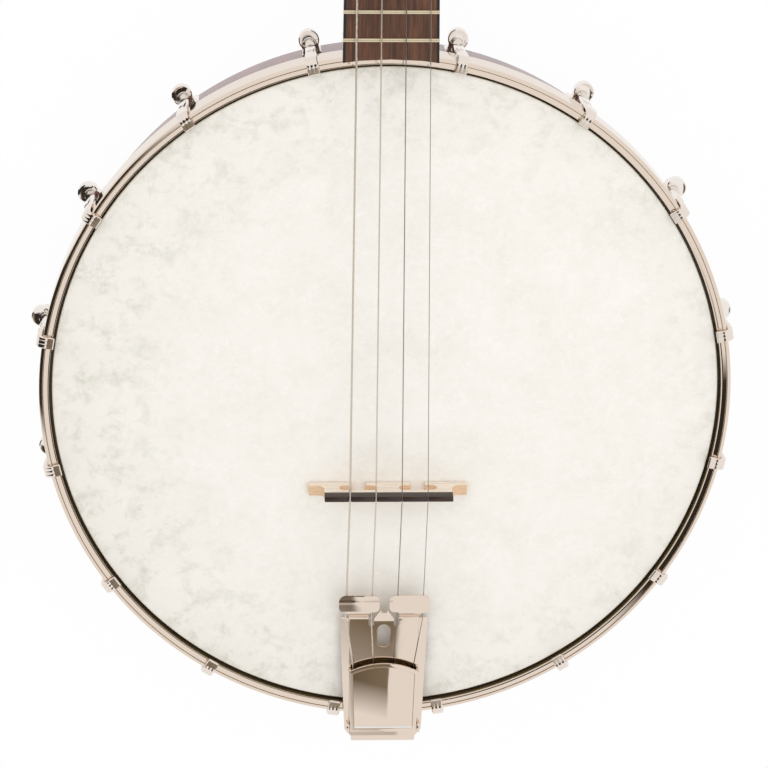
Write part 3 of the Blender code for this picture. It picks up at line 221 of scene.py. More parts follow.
class BanjoColours(bpy.types.PropertyGroup):
    """Colours that a user would change."""

    head: colour_property("Head", "Coated head film", linear("#F9F5EE"))
    # This colour serves the handling marks and also the broad painted shade near the head's edge.
    head_smudge_and_shade: colour_property("Head smudges", "Handling marks on the head", linear("#EBE7DD"))
    head_edge: colour_property("Head edge", "Stains near the edge", linear("#CBC8BA"))
    head_thread: colour_property("Head threads", "Fine light lines", linear("#FFFCF8"))
    nickel: colour_property("Nickel", "Nickel plate", linear("#E2D2C3"))
    rim: colour_property("Rim", "Lacquered maple of the rim", linear("#965A5C"))
    neck: colour_property("Neck", "Lacquered mahogany of the neck", linear("#5A2C1E"))
    board: colour_property("Fingerboard", "Rosewood between its pores", linear("#73492F"))
    board_dark: colour_property("Fingerboard streaks", "Dark rosewood", linear("#3E261C"))
    fret: colour_property("Frets", "Nickel silver of the frets", linear("#D8C9AC"))
    bridge: colour_property("Bridge", "Bare maple of the bridge", linear("#EFCBA6"))
    # The bridge's front is painted paler than its maple: painted light from the neck's side.
    bridge_lit_front: colour_property("Bridge face", "Front of the bridge", linear("#FDEEDC"))
    bridge_cap: colour_property("Bridge cap", "Ebony of the bridge cap", linear("#2E1D15"))
    bone: colour_property("Nut", "Bone of the nut", linear("#E8DFCB"))
    button: colour_property("Buttons", "Pearloid of the tuner buttons", linear("#E9E2D2"))


def sizes():
    return bpy.context.scene.banjo_sizes


def colours():
    return bpy.context.scene.banjo_colours


# Materials


def add_node(tree, kind, settings=None, inputs=None):
    """Adds a node. An input given as another node's output is linked, and others are set."""
    node = tree.nodes.new(kind)
    for key, value in (settings or {}).items():
        setattr(node, key, value)
    for key, value in (inputs or {}).items():
        if isinstance(value, bpy.types.NodeSocket):
            tree.links.new(value, node.inputs[key])
        else:
            node.inputs[key].default_value = value
    return node


def new_material(name, **values):
    """A Principled material with plain values on its sockets, given by socket name."""
    material = bpy.data.materials.new(name)
    material.use_nodes = True
    shader = material.node_tree.nodes["Principled BSDF"]
    for key, value in values.items():
        socket = shader.inputs[key.replace("_", " ").title()]
        socket.default_value = (*value, 1.0) if socket.type == "RGBA" else value
    return material, material.node_tree, shader


def stretched_place(tree, per_mm):
    """Object coordinates scaled so that one unit is one feature of the given sizes in mm."""
    coordinates = add_node(tree, "ShaderNodeTexCoord")
    scale = [1.0 / (size * MM) for size in per_mm]
    mapping = add_node(
        tree,
        "ShaderNodeMapping",
        inputs={"Vector": coordinates.outputs["Object"], "Scale": scale},
    )
    return mapping.outputs["Vector"]


def noise(tree, per_mm, detail=4.0, roughness=0.5, distortion=0.0):
    return add_node(
        tree,
        "ShaderNodeTexNoise",
        inputs={
            "Vector": stretched_place(tree, per_mm),
            "Scale": 1.0,
            "Detail": detail,
            "Roughness": roughness,
            "Distortion": distortion,
        },
    ).outputs["Fac"]


def spread(tree, value, low, high, to_low=0.0, to_high=1.0):
    return add_node(
        tree,
        "ShaderNodeMapRange",
        inputs={
            "Value": value,
            "From Min": low,
            "From Max": high,
            "To Min": to_low,
            "To Max": to_high,
        },
    ).outputs["Result"]


def mix_colours(tree, share, first, second):
    mix = add_node(tree, "ShaderNodeMix", {"data_type": "RGBA"})
    for socket, value in ((mix.inputs[0], share), (mix.inputs[6], first), (mix.inputs[7], second)):
        if isinstance(value, bpy.types.NodeSocket):
            tree.links.new(value, socket)
        elif socket.type == "RGBA":
            socket.default_value = (*value, 1.0)
        else:
            socket.default_value = value
    return mix.outputs[2]


def math_node(tree, operation, first, second):
    """One step of arithmetic in a node tree."""
    inputs = {0: first, 1: second}
    return add_node(tree, "ShaderNodeMath", {"operation": operation}, inputs).outputs[0]


def bump(tree, shader, height, depth_mm, strength=1.0):
    normal = add_node(
        tree,
        "ShaderNodeBump",
        inputs={"Height": height, "Distance": depth_mm * MM, "Strength": strength},
    )
    tree.links.new(normal.outputs["Normal"], shader.inputs["Normal"])


def nickel_plate(name, roughness=0.04, ripple=0.004, pale=0.0):
    """Electroplated nickel, buffed: warm mirror with a faint haze and slight ripples. Pale moves the
    colour towards white: painted light for pieces drawn brighter than the rest of the plate.
    """
    colour = [value + (0.95 - value) * pale for value in colours().nickel]
    material, tree, shader = new_material(name, base_color=colour, metallic=1.0)
    haze = noise(tree, (9.0, 9.0, 9.0), 5.0, 0.6)
    tree.links.new(
        spread(tree, haze, 0.3, 0.75, roughness * 0.6, roughness * 1.6),
        shader.inputs["Roughness"],
    )
    bump(tree, shader, noise(tree, (12.0, 12.0, 12.0), 1.0), ripple, 1.0)
    return material


def dull_plate_painted_shade():
    """Thin plate where no buffing wheel reaches: dull, dark grey brown and cloudy; the darkness is
    painted shade for the hoop's groove and inner wall and for the faces under and round the cover's
    panel.
    """
    material, tree, shader = new_material("dull_nickel_painted_shade", metallic=0.9, roughness=0.4)
    clouds = noise(tree, (4.0, 4.0, 4.0), 4.0, 0.6)
    colour = mix_colours(tree, clouds, linear("#A8946C"), linear("#C4AE86"))
    tree.links.new(colour, shader.inputs["Base Color"])
    return material


def distance_for_stain_and_shade(tree):
    """Distance from a spot beside the middle of the head, so that the stains and the painted shade that
    use it are strongest on the left.
    """
    coordinates = add_node(tree, "ShaderNodeTexCoord").outputs["Object"]
    offset = tuple(-(POT + Vector((18.0, 0.0, 0.0)) * MM))
    inputs = {0: coordinates, 1: offset}
    moved = add_node(tree, "ShaderNodeVectorMath", {"operation": "ADD"}, inputs).outputs[0]
    distance = add_node(tree, "ShaderNodeVectorMath", {"operation": "LENGTH"}, {0: moved})
    return distance.outputs["Value"]


def threads(tree, per_mm, thickness):
    """Thin winding lines, where a noise crosses its middle value."""
    field = noise(tree, per_mm, 4.0, 0.55, 1.4)
    centred = math_node(tree, "SUBTRACT", field, 0.5)
    distance = math_node(tree, "ABSOLUTE", centred, 0.0)
    return spread(tree, distance, 0.0, thickness, 1.0, 0.0)


def coated_film():
    """Polyester film with a sprayed coating: warm white, matt, fibrous, with grey handling marks,
    stains near the edge, and a broad painted shade that darkens it towards the edge, most on the left.
    """
    base = tuple(colours().head)
    material, tree, shader = new_material("coated_polyester", roughness=0.62)
    clouds = noise(tree, (26.0, 26.0, 26.0), 9.0, 0.72, 0.3)
    fibres = noise(tree, (3.0, 3.0, 3.0), 5.0, 0.7, 0.8)
    inputs = spread(tree, clouds, 0.32, 0.72), spread(tree, fibres, 0.3, 0.7, 0.35, 1.0)
    colour = mix_colours(tree, math_node(tree, "MULTIPLY", *inputs), base, tuple(colours().head_smudge_and_shade))
    for size_mm, thickness, strength in ((16.0, 0.02, 0.3), (7.0, 0.03, 0.22)):
        lines = threads(tree, (size_mm, size_mm, size_mm), thickness)
        share = math_node(tree, "MULTIPLY", lines, strength)
        colour = mix_colours(tree, share, colour, tuple(colours().head_thread))
    blots = spread(tree, noise(tree, (11.0, 11.0, 11.0), 9.0, 0.74, 0.3), 0.49, 0.64)
    stain_and_shade_distance = distance_for_stain_and_shade(tree)
    # Painted shade: the film is mixed towards the smudge colour outwards from the middle, most on the
    # left.
    painted_edge_shade = spread(tree, stain_and_shade_distance, 0.11, 0.165, 0.0, 0.35)
    colour = mix_colours(tree, painted_edge_shade, colour, tuple(colours().head_smudge_and_shade))
    stains = math_node(tree, "MULTIPLY", blots, spread(tree, stain_and_shade_distance, 0.105, 0.15, 0.0, 0.8))
    stained = math_node(tree, "MULTIPLY", stains, inputs[1])
    colour = mix_colours(tree, stained, colour, tuple(colours().head_edge))
    tree.links.new(colour, shader.inputs["Base Color"])
    bump(tree, shader, noise(tree, (0.5, 0.5, 0.5), 3.0, 0.7), 0.03, 0.4)
    return material


def painted_shade_collar():
    """The uncoated edge of the film, shiny; its dark brown is painted shade in the gap between the head
    and the hoop.
    """
    material, _, _ = new_material(
        "polyester_collar_painted_shade", base_color=linear("#80735A"), roughness=0.35
    )
    return material


def straight_wood(name, light, dark, grain_mm, length_mm, roughness, coat=0.0):
    """Wood sawn along the neck: streaks and pores that run along Y."""
    material, tree, shader = new_material(name, roughness=roughness, coat_weight=coat)
    streaks = noise(tree, (grain_mm, length_mm, grain_mm * 3), 5.0, 0.55, 0.3)
    pores = noise(tree, (grain_mm * 0.22, length_mm * 0.16, grain_mm), 2.0, 0.6)
    share = add_node(
        tree,
        "ShaderNodeMath",
        {"operation": "MULTIPLY", "use_clamp": True},
        {0: spread(tree, streaks, 0.36, 0.66), 1: spread(tree, pores, 0.3, 0.62, 0.55, 1.1)},
    ).outputs[0]
    tree.links.new(mix_colours(tree, share, dark, light), shader.inputs["Base Color"])
    bump(tree, shader, pores, 0.06, 0.4)
    return material, tree, shader


def lacquered_maple():
    """Steam-bent maple under gloss lacquer: brown, with curl across the grain."""
    dark = tuple(value * 0.6 for value in colours().rim)
    material, tree, shader = new_material("lacquered_maple", roughness=0.35, coat_weight=0.4)
    curl = noise(tree, (14.0, 14.0, 90.0), 3.0, 0.5, 0.5)
    grain = noise(tree, (20.0, 20.0, 1.2), 4.0, 0.6)
    share = add_node(
        tree,
        "ShaderNodeMath",
        {"operation": "MULTIPLY", "use_clamp": True},
        {0: spread(tree, curl, 0.3, 0.65), 1: spread(tree, grain, 0.3, 0.7, 0.7, 1.1)},
    ).outputs[0]
    colour = mix_colours(tree, share, dark, tuple(colours().rim))
    tree.links.new(colour, shader.inputs["Base Color"])
    return material


def bare_maple(name, light):
    """Planed maple with no finish: fine lengthwise fibres."""
    dark = tuple(value * 0.78 for value in light)
    material, tree, shader = new_material(name, roughness=0.55)
    fibre = noise(tree, (9.0, 0.6, 0.5), 4.0, 0.6)
    colour = mix_colours(tree, spread(tree, fibre, 0.35, 0.65), dark, light)
    tree.links.new(colour, shader.inputs["Base Color"])
    bump(tree, shader, fibre, 0.04, 0.4)
    return material


def ebony():
    """Polished ebony: near black brown with a soft shine."""
    material, tree, shader = new_material("ebony", roughness=0.32)
    fibre = noise(tree, (10.0, 0.5, 0.5), 4.0, 0.6)
    base = tuple(colours().bridge_cap)
    light = tuple(min(value * 2.4, 1.0) for value in base)
    colour = mix_colours(tree, spread(tree, fibre, 0.5, 0.8), base, light)
    tree.links.new(colour, shader.inputs["Base Color"])
    return material


def rosewood_board():
    """Oiled rosewood: brown with dark streaks and open pores."""
    material, tree, shader = straight_wood(
        "rosewood", tuple(colours().board), tuple(colours().board_dark), 1.5, 26.0, 0.42
    )
    return material


def black_binding():
    """Plastic binding glued along the edges: black, scraped flush and faintly shiny."""
    material, tree, shader = new_material("black_binding", base_color=linear("#1B1715"))
    scraped = noise(tree, (0.8, 12.0, 0.8), 3.0, 0.6)
    tree.links.new(spread(tree, scraped, 0.3, 0.7, 0.3, 0.45), shader.inputs["Roughness"])
    return material


def nickel_silver():
    """Drawn nickel silver wire: pale yellow metal."""
    material, _, _ = new_material(
        "nickel_silver", base_color=tuple(colours().fret), metallic=1.0, roughness=0.25
    )
    return material


def polished_bone():
    """Bone polished by hand: cream, with faint darker flecks."""
    light = tuple(colours().bone)
    material, tree, shader = new_material("polished_bone", roughness=0.3)
    flecks = noise(tree, (2.5, 0.5, 0.5), 3.0, 0.6)
    dark = tuple(value * 0.8 for value in light)
    colour = mix_colours(tree, spread(tree, flecks, 0.55, 0.75), light, dark)
    tree.links.new(colour, shader.inputs["Base Color"])
    return material


def pearloid():
    """Cast pearloid plastic: cream flakes that catch the light in patches."""
    light = tuple(colours().button)
    material, tree, shader = new_material("pearloid", roughness=0.25, coat_weight=0.5)
    flakes = noise(tree, (4.0, 4.0, 4.0), 3.0, 0.5, 2.5)
    dark = tuple(value * 0.62 for value in light)
    colour = mix_colours(tree, spread(tree, flakes, 0.4, 0.65), dark, light)
    tree.links.new(colour, shader.inputs["Base Color"])
    return material


def string_wire(name, colour, roughness, winding_mm=0.0):
    """Drawn steel wire. A wound string has ridges drawn coarser than real, so that they show."""
    material, tree, shader = new_material(
        name, base_color=colour, metallic=1.0, roughness=roughness
    )
    if winding_mm:
        ridges = add_node(
            tree,
            "ShaderNodeTexWave",
            {"bands_direction": "Y"},
            {"Vector": stretched_place(tree, (winding_mm * 20,) * 3), "Scale": 1.0},
        )
        bump(tree, shader, ridges.outputs["Fac"], 0.08, 0.6)
    return material


def brushed_steel():
    """Turned steel rod, nickel flashed: satin with fine rings."""
    material, tree, shader = new_material(
        "satin_steel", base_color=linear("#B9B4AE"), metallic=1.0
    )
    rings = noise(tree, (40.0, 0.8, 40.0), 3.0, 0.6)
    tree.links.new(spread(tree, rings, 0.3, 0.7, 0.22, 0.42), shader.inputs["Roughness"])
    return material


# Modelling helpers


def begin():
    """Leaves edit mode and selects nothing."""
    if bpy.context.object and bpy.context.object.mode != "OBJECT":
        bpy.ops.object.mode_set(mode="OBJECT")
    bpy.ops.object.select_all(action="DESELECT")


def pick(obj):
    begin()
    obj.select_set(True)
    bpy.context.view_layer.objects.active = obj


def edit(obj):
    pick(obj)
    bpy.ops.object.mode_set(mode="EDIT")
    bpy.ops.mesh.select_all(action="DESELECT")


def select_faces(obj, test):
    """In edit mode, selects the faces whose centre and normal pass the test."""
    bpy.ops.mesh.select_mode(type="FACE")
    bpy.ops.mesh.select_all(action="DESELECT")
    mesh = bmesh.from_edit_mesh(obj.data)
    for face in mesh.faces:
        if test(face.calc_center_median(), face.normal):
            face.select = True
    mesh.select_flush_mode()
    bmesh.update_edit_mesh(obj.data)


def finish_edit():
    bpy.ops.mesh.select_mode(type="VERT")
    bpy.ops.object.mode_set(mode="OBJECT")


def name_it(obj, name):
    obj.name = name
    obj.data.name = name


def dress(obj, *materials):
    obj.data.materials.clear()
    for material in materials:
        obj.data.materials.append(material)


def smooth(obj, degrees=30.0):
    pick(obj)
    bpy.ops.object.shade_smooth_by_angle(angle=math.radians(degrees))


def settle(obj, matrix):
    """Puts the piece in its place and moves that place into its mesh."""
    pick(obj)
    obj.matrix_world = matrix
    bpy.ops.object.transform_apply(location=True, rotation=True, scale=True)


def place(obj, body, slot_name, *nodes):
    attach(obj, body)
    if nodes:
        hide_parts(*nodes)


def bevel(obj, width, segments=2, degrees=35.0):
    pick(obj)
    modifier = obj.modifiers.new("edge", "BEVEL")
    modifier.width = width
    modifier.segments = segments
    modifier.limit_method = "ANGLE"
    modifier.angle_limit = math.radians(degrees)
    modifier.harden_normals = False
    bpy.ops.object.modifier_apply(modifier="edge")


def even(obj, degrees=35.0):
    """Smooth shading that leaves the big flat faces flat."""
    smooth(obj, degrees)
    modifier = obj.modifiers.new("even", "WEIGHTED_NORMAL")
    modifier.keep_sharp = True
    bpy.ops.object.modifier_apply(modifier="even")


def cut(obj, cutter):
    """Takes the cutter's shape out of the piece."""
    pick(obj)
    modifier = obj.modifiers.new("cut", "BOOLEAN")
    modifier.object = cutter
    modifier.solver = "EXACT"
    bpy.ops.object.modifier_apply(modifier="cut")
    bpy.data.objects.remove(cutter)


def slice_faces(obj, spot, normal, test):
    """In edit mode, cuts the faces that pass the test along a plane."""
    select_faces(obj, test)
    bpy.ops.mesh.bisect(plane_co=spot, plane_no=normal)


def copy_of(node, name, tidy_degrees=0.5):
    """A copy of a frame node with its loose triangles merged into plain faces."""
    source = frame["nodes"][node]
    pick(source)
    bpy.ops.object.duplicate()
    obj = bpy.context.object
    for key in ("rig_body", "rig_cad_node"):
        if key in obj:
            del obj[key]
    obj.parent = None
    name_it(obj, name)
    edit(obj)
    bpy.ops.mesh.select_all(action="SELECT")
    bpy.ops.mesh.remove_doubles(threshold=0.001 * MM)
    bpy.ops.mesh.dissolve_limited(angle_limit=math.radians(tidy_degrees))
    finish_edit()
    if obj.data.has_custom_normals:
        bpy.ops.mesh.customdata_custom_splitnormals_clear()
    return obj


def lathe(name, profile, steps, closed=True):
    """Extrudes a profile of radius and height points, then spins it about Z."""
    begin()
    bpy.ops.mesh.primitive_plane_add(size=MM)
    obj = bpy.context.object
    name_it(obj, name)
    bpy.ops.object.mode_set(mode="EDIT")
    bpy.ops.mesh.select_all(action="SELECT")
    bpy.ops.mesh.merge(type="CENTER")
    here = Vector((0.0, 0.0, 0.0))
    path = [*profile, profile[0]] if closed else profile
    for index, (radius, height) in enumerate(path):
        there = Vector((radius, 0.0, height))
        move = {"value": there - here}
        if index == 0:
            bpy.ops.transform.translate(**move)
        else:
            bpy.ops.mesh.extrude_region_move(TRANSFORM_OT_translate=move)
        here = there
    bpy.ops.mesh.select_all(action="SELECT")
    bpy.ops.mesh.remove_doubles(threshold=0.001 * MM)
    bpy.ops.mesh.select_all(action="SELECT")
    bpy.ops.mesh.spin(steps=steps, angle=math.tau, center=(0, 0, 0), axis=(0, 0, 1))
    bpy.ops.mesh.select_all(action="SELECT")
    bpy.ops.mesh.remove_doubles(threshold=0.002 * MM)
    bpy.ops.mesh.select_all(action="SELECT")
    bpy.ops.mesh.normals_make_consistent(inside=False)
    finish_edit()
    return obj


def reshape(obj, old, new):
    """In edit mode, moves the selected points from one ring's places to the next ring's."""
    mesh = bmesh.from_edit_mesh(obj.data)
    for vertex in [vertex for vertex in mesh.verts if vertex.select]:
        nearest = min(range(len(old)), key=lambda index: (old[index] - vertex.co).length)
        vertex.co = new[nearest]
    bmesh.update_edit_mesh(obj.data)


def sweep(name, rings):
    """Extrudes the first ring through the others, all with the same number of points."""
    begin()
    count = len(rings[0])
    bpy.ops.mesh.primitive_circle_add(vertices=count, radius=MM, fill_type="NGON")
    obj = bpy.context.object
    name_it(obj, name)
    old = [vertex.co.copy() for vertex in obj.data.vertices]
    bpy.ops.object.mode_set(mode="EDIT")
    bpy.ops.mesh.select_all(action="SELECT")
    for index, ring in enumerate(rings):
        if index:
            bpy.ops.mesh.extrude_region_move()
        reshape(obj, old, ring)
        old = ring
    bpy.ops.mesh.select_all(action="SELECT")
    bpy.ops.mesh.normals_make_consistent(inside=False)
    finish_edit()
    return obj


def slab(name, outline, low, high):
    """Extrudes an outline of x and y points from one height up to another."""
    rings = [[Vector((x, y, z)) for x, y in outline] for z in (low, high)]
    return sweep(name, rings)


def rod(name, centre, radius, length, turn=None, sides=24):
    """A round bar with chamfered ends, standing upright unless it is turned."""
    begin()
    bpy.ops.mesh.primitive_cylinder_add(vertices=sides, radius=radius, depth=length)
    obj = bpy.context.object
    name_it(obj, name)
    bevel(obj, radius * 0.15, 1, 60.0)
    settle(obj, Matrix.Translation(centre) @ (turn or Matrix.Identity(4)))
    return obj


def hex_nut(name, centre, radius, height, turn=None):
    """A six-sided nut whose corners are turned off at both ends."""
    begin()
    bpy.ops.mesh.primitive_cylinder_add(vertices=6, radius=radius, depth=height)
    obj = bpy.context.object
    name_it(obj, name)
    bevel(obj, radius * 0.07, 2, 50.0)
    settle(obj, Matrix.Translation(centre) @ (turn or Matrix.Identity(4)))
    return obj


def drill(obj, centre, radius):
    """Cuts an upright hole."""
    begin()
    bpy.ops.mesh.primitive_cylinder_add(
        vertices=40, radius=radius, depth=40.0 * MM, location=centre
    )
    cut(obj, bpy.context.object)


def join(obj, *others):
    pick(obj)
    for other in others:
        other.select_set(True)
    bpy.ops.object.join()


def copy_round(pattern, nodes, suffix, slot_name):
    """Copies a piece made on +X to the place of each node, and deletes the pattern."""
    for node in nodes:
        pick(pattern)
        bpy.ops.object.duplicate()
        obj = bpy.context.object
        name_it(obj, f"{node}_{suffix}")
        settle(obj, spoke(node))
        place(obj, "banjo", slot_name, node)
    bpy.data.objects.remove(pattern)


def rounded_corner(corner, before, after, radius, steps=4):
    """Points of an arc that rounds a profile's corner, from one side to the other."""
    corner = Vector(corner)
    before = Vector(before) - corner
    after = Vector(after) - corner
    first = before.normalized()
    second = after.normalized()
    half = first.angle(second) / 2
    reach = min(radius / math.tan(half), 0.49 * before.length, 0.49 * after.length)
    radius = reach * math.tan(half)
    centre = corner + (first + second).normalized() * (radius / math.sin(half))
    start = corner + first * reach - centre
    sweep = start.angle_signed(corner + second * reach - centre)
    turns = [Matrix.Rotation(-sweep * step / steps, 2) for step in range(steps + 1)]
    return [tuple(centre + turn @ start) for turn in turns]


def rounded_profile(points, steps=4):
    """A closed profile from corners given as (radius, height, rounding)."""
    result = []
    for index, (x, z, rounding) in enumerate(points):
        if rounding == 0.0:
            result.append((x, z))
            continue
        before = points[index - 1][:2]
        after = points[(index + 1) % len(points)][:2]
        result += rounded_corner((x, z), before, after, rounding, steps)
    return result


# Pieces


def build_rim():
    inner = RIM_RADIUS - sizes().rim_wall
    edge = 1.2 * MM
    corners = [
        (inner, 0.0, edge),
        (inner, RIM_TOP, edge),
        (RIM_RADIUS, RIM_TOP, edge),
        (RIM_RADIUS, 0.0, edge),
    ]
    rim = lathe("rim_shell", rounded_profile(corners), sizes().ring_steps)
    settle(rim, Matrix.Translation(POT))
    smooth(rim)
    dress(rim, lacquered_maple())
    place(rim, "banjo", "maple_rim", "rim")


def build_head():
    film = sizes().film
    fold = 0.7 * MM
    skirt = FLESH_RADIUS - sizes().flesh_hoop
    flesh_top = HEAD_LOW + 4.0 * MM
    inner = skirt - film
    corners = [
        (inner, HEAD_LOW, 0.0),
        (inner, HEAD_TOP - film, fold - film),
        (0.0, HEAD_TOP - film, 0.0),
        (0.0, HEAD_TOP, 0.0),
        (skirt, HEAD_TOP, fold),
        (skirt, flesh_top, 0.0),
        (FLESH_RADIUS, flesh_top, 0.5 * MM),
        (FLESH_RADIUS, HEAD_LOW, 0.5 * MM),
    ]
    head = lathe("head_film", rounded_profile(corners), sizes().ring_steps)
    dress(head, coated_film(), painted_shade_collar())
    coated = skirt - 0.1 * MM
    # Faces beyond the coated radius take the collar material, darkened as painted shade in the gap at
    # the hoop.
    for face in head.data.polygons:
        face.material_index = int(face.center.xy.length > coated)
    settle(head, Matrix.Translation(POT))
    smooth(head)
    place(head, "banjo", "coated_film", "head")


def build_hoop():
    """A lip, a slope up to a crowned shoulder with a fine groove before it, and an apron."""
    apron_inner = HOOP_RADIUS - sizes().hoop_apron
    step = apron_inner + 0.3 * MM
    lip_end = step - sizes().hoop_slope
    inner = lip_end - sizes().hoop_lip
    low = HEAD_LOW + 4.0 * MM + GAP
    lip_top = HOOP_TOP - 0.7 * MM
    top = HOOP_TOP - 0.02 * MM
    corners = [
        (inner, low, 0.3 * MM),
        (inner, lip_top - 0.06 * MM, 0.12 * MM),
        (inner + 0.5 * MM, lip_top - 0.06 * MM, 0.1 * MM),
        (lip_end, lip_top, 0.2 * MM),
        (step, top - 0.1 * MM, 0.1 * MM),
        (step + 0.08 * MM, top - 0.35 * MM, 0.0),
        (step + 0.2 * MM, top - 0.35 * MM, 0.0),
        (step + 0.28 * MM, top, 0.12 * MM),
        (step + 0.4 * MM, top, 0.2 * MM),
        (HOOP_RADIUS - 0.5 * MM, top - 0.24 * MM, 0.4 * MM),
        (HOOP_RADIUS - 0.08 * MM, top - 0.6 * MM, 0.3 * MM),
        (HOOP_RADIUS, top - 1.1 * MM, 0.2 * MM),
        (HOOP_RADIUS, HOOP_LOW, 0.4 * MM),
        (apron_inner, HOOP_LOW, 0.4 * MM),
        (apron_inner, low, 0.0),
    ]
    hoop = lathe("hoop_band", rounded_profile(corners), sizes().ring_steps)
    dress(hoop, nickel_plate("nickel_plate_hoop", 0.05), dull_plate_painted_shade())
    # The groove and the inner wall take the dull plate, whose darker colour is painted shade in these
    # recesses.
    for face in hoop.data.polygons:
        radius = face.center.xy.length
        in_groove = step + 0.02 * MM < radius < step + 0.24 * MM and face.center.z > lip_top
        inside = radius < inner + 0.05 * MM and face.center.z < lip_top - 0.2 * MM
        face.material_index = int(in_groove or inside)
    settle(hoop, Matrix.Translation(POT))
    even(hoop, 30.0)
    place(hoop, "banjo", "nickel_hoop", "tension_hoop")


def spoke(node):
    """Turns +X to the side of the pot that a hook or shoe stands on, and moves it there."""
    points = frame["nodes"][node].data.vertices
    middle = sum((point.co for point in points), Vector()) / len(points) - POT
    angle = math.atan2(middle.y, middle.x)
    return Matrix.Translation(POT) @ Matrix.Rotation(angle, 4, "Z")


def hook_section(width, thickness, flute, roundness):
    """Three lobes over a flat back, or a circle as the roundness goes to 1."""
    half = width / 2
    high = thickness / 2
    edge = thickness * 0.22
    lobes = 3
    steps = lobes * LOBE_STEPS
    points = []
    for step in range(steps + 1):
        within = (step % LOBE_STEPS) / LOBE_STEPS * 2 - 1
        drop = flute * within * within if step not in (0, steps) else edge
        points.append((half - width * step / steps, high - drop))
    back = [(-half, edge - high), (edge - half, -high)]
    for step in range(1, LOBE_STEPS):
        back.append((edge - half + (width - 2 * edge) * step / LOBE_STEPS, -high))
    points += back + [(half - edge, -high), (half, edge - high)]
    count = len(points)
    ring = []
    for step, (side, up) in enumerate(points):
        if step <= steps:
            angle = math.pi * step / steps
        else:
            angle = math.pi * (1 + (step - steps) / (count - steps))
        round_side = half * math.cos(angle)
        round_up = high * math.sin(angle)
        side += (round_side - side) * roundness
        up += (round_up - up) * roundness
        ring.append((side, up))
    return ring


def hook_stations():
    """Places along the hook as radius, height, turn, then width, thickness, flutes, roundness."""
    shank = 2.2 * MM
    tip = 1.5 * MM
    plate = 5.0 * MM
    rod = 3.6 * MM
    middle = HOOP_RADIUS + GAP + shank / 2
    at_shoe = middle - 1.2 * MM
    start = HOOP_RADIUS - 4.9 * MM
    bend = 2.6 * MM
    level = HOOK_TOP - 0.8 * MM
    slope = 0.21 * MM
    stations = [
        (start, level - slope, 0.0, plate * 0.94, tip * 0.8, 0.0, 0.0),
        (start + 0.25 * MM, level - slope, 0.0, plate, tip, 0.0, 0.0),
        (start + 0.45 * MM, level - slope + 0.01 * MM, 0.0, plate, tip, 0.0, 0.0),
        (middle - bend - 0.9 * MM, level - 0.1 * MM, 0.0, plate, tip, 0.0, 0.0),
        (middle - bend - 0.5 * MM, level - 0.08 * MM, 0.0, plate * 0.94, tip, 0.03 * MM, 0.0),
    ]
    for step in range(BEND_STEPS + 1):
        share = step / BEND_STEPS
        turn = share * math.pi / 2
        thickness = tip + (shank - tip) * share
        radius = middle - bend + bend * math.sin(turn)
        height = level - bend + bend * math.cos(turn)
        flute = (0.05 + 0.13 * share) * MM
        stations.append((radius, height, -turn, plate * 0.94, thickness, flute, 0.0))
    down = -math.pi / 2
    shoulder = level - bend
    stations += [
        (middle, shoulder - 0.3 * MM, down, plate * 0.94, shank, 0.18 * MM, 0.0),
        (middle, shoulder - 0.6 * MM, down, plate, shank * 0.96, 0.18 * MM, 0.0),
        (middle, shoulder - 6.0 * MM, down, plate, shank * 0.96, 0.18 * MM, 0.1),
        (middle - 0.4 * MM, shoulder - 11.0 * MM, down, plate * 0.92, shank * 1.1, 0.15 * MM, 0.4),
        (at_shoe, SHOE_TOP + 8.0 * MM, down, rod, rod, 0.1 * MM, 0.8),
        (at_shoe, SHOE_TOP + 4.0 * MM, down, rod, rod, 0.0, 1.0),
        (at_shoe, HOOK_LOW + 0.5 * MM, down, rod, rod, 0.0, 1.0),
        (at_shoe, HOOK_LOW, down, rod * 0.75, rod * 0.75, 0.0, 1.0),
    ]
    return stations


def hook_rings():
    rings = []
    for radius, height, turn, *shape in hook_stations():
        ring = []
        for side, up in hook_section(*shape):
            x = radius - up * math.sin(turn)
            ring.append(Vector((x, side, height + up * math.cos(turn))))
        rings.append(ring)
    return rings


def build_hooks():
    """Shapes one hook with its nut, then copies it round the pot."""
    hook = sweep("hook_bent", hook_rings())
    at_shoe = HOOP_RADIUS + GAP - 0.1 * MM
    top = SHOE_TOP - 4.4 * MM - GAP
    nut = hex_nut("hook_nut", (at_shoe, 0.0, top - 2.5 * MM), 3.4 * MM, 5.0 * MM)
    join(hook, nut)
    even(hook)
    # The hook's plate is moved a quarter of the way to white: painted light.
    dress(hook, nickel_plate("nickel_plate_hook", 0.06, 0.003, 0.25))
    copy_round(hook, HOOK_NODES, "bent", "nickel_hook")


def shoe_outline(depth):
    """Seen from above: a flared foot on the rim, then a round plate unless the depth ends it."""
    back = RIM_RADIUS + GAP
    foot = SHOE_PLATE - 0.2 * MM
    flare = 2.3 * MM
    if depth:
        neck = SHOE_PLATE * 0.85
        return [(back, -foot), (back + depth * 0.5, -foot), (back + depth, -neck),
                (back + depth, neck), (back + depth * 0.5, foot), (back, foot)]
    half = math.pi * 0.7
    neck = SHOE_PLATE * math.sin(half)
    points = [(back, -foot), (back + flare * 0.5, -foot), (back + flare, -neck)]
    for step in range(SHOE_STEPS + 1):
        angle = half * (2 * step / SHOE_STEPS - 1)
        x = shoe_middle() + SHOE_PLATE * math.cos(angle)
        points.append((x, SHOE_PLATE * math.sin(angle)))
    return points + [(back + flare, neck), (back + flare * 0.5, foot), (back, foot)]


def shoe_middle():
    return HOOP_RADIUS + GAP + 1.6 * MM


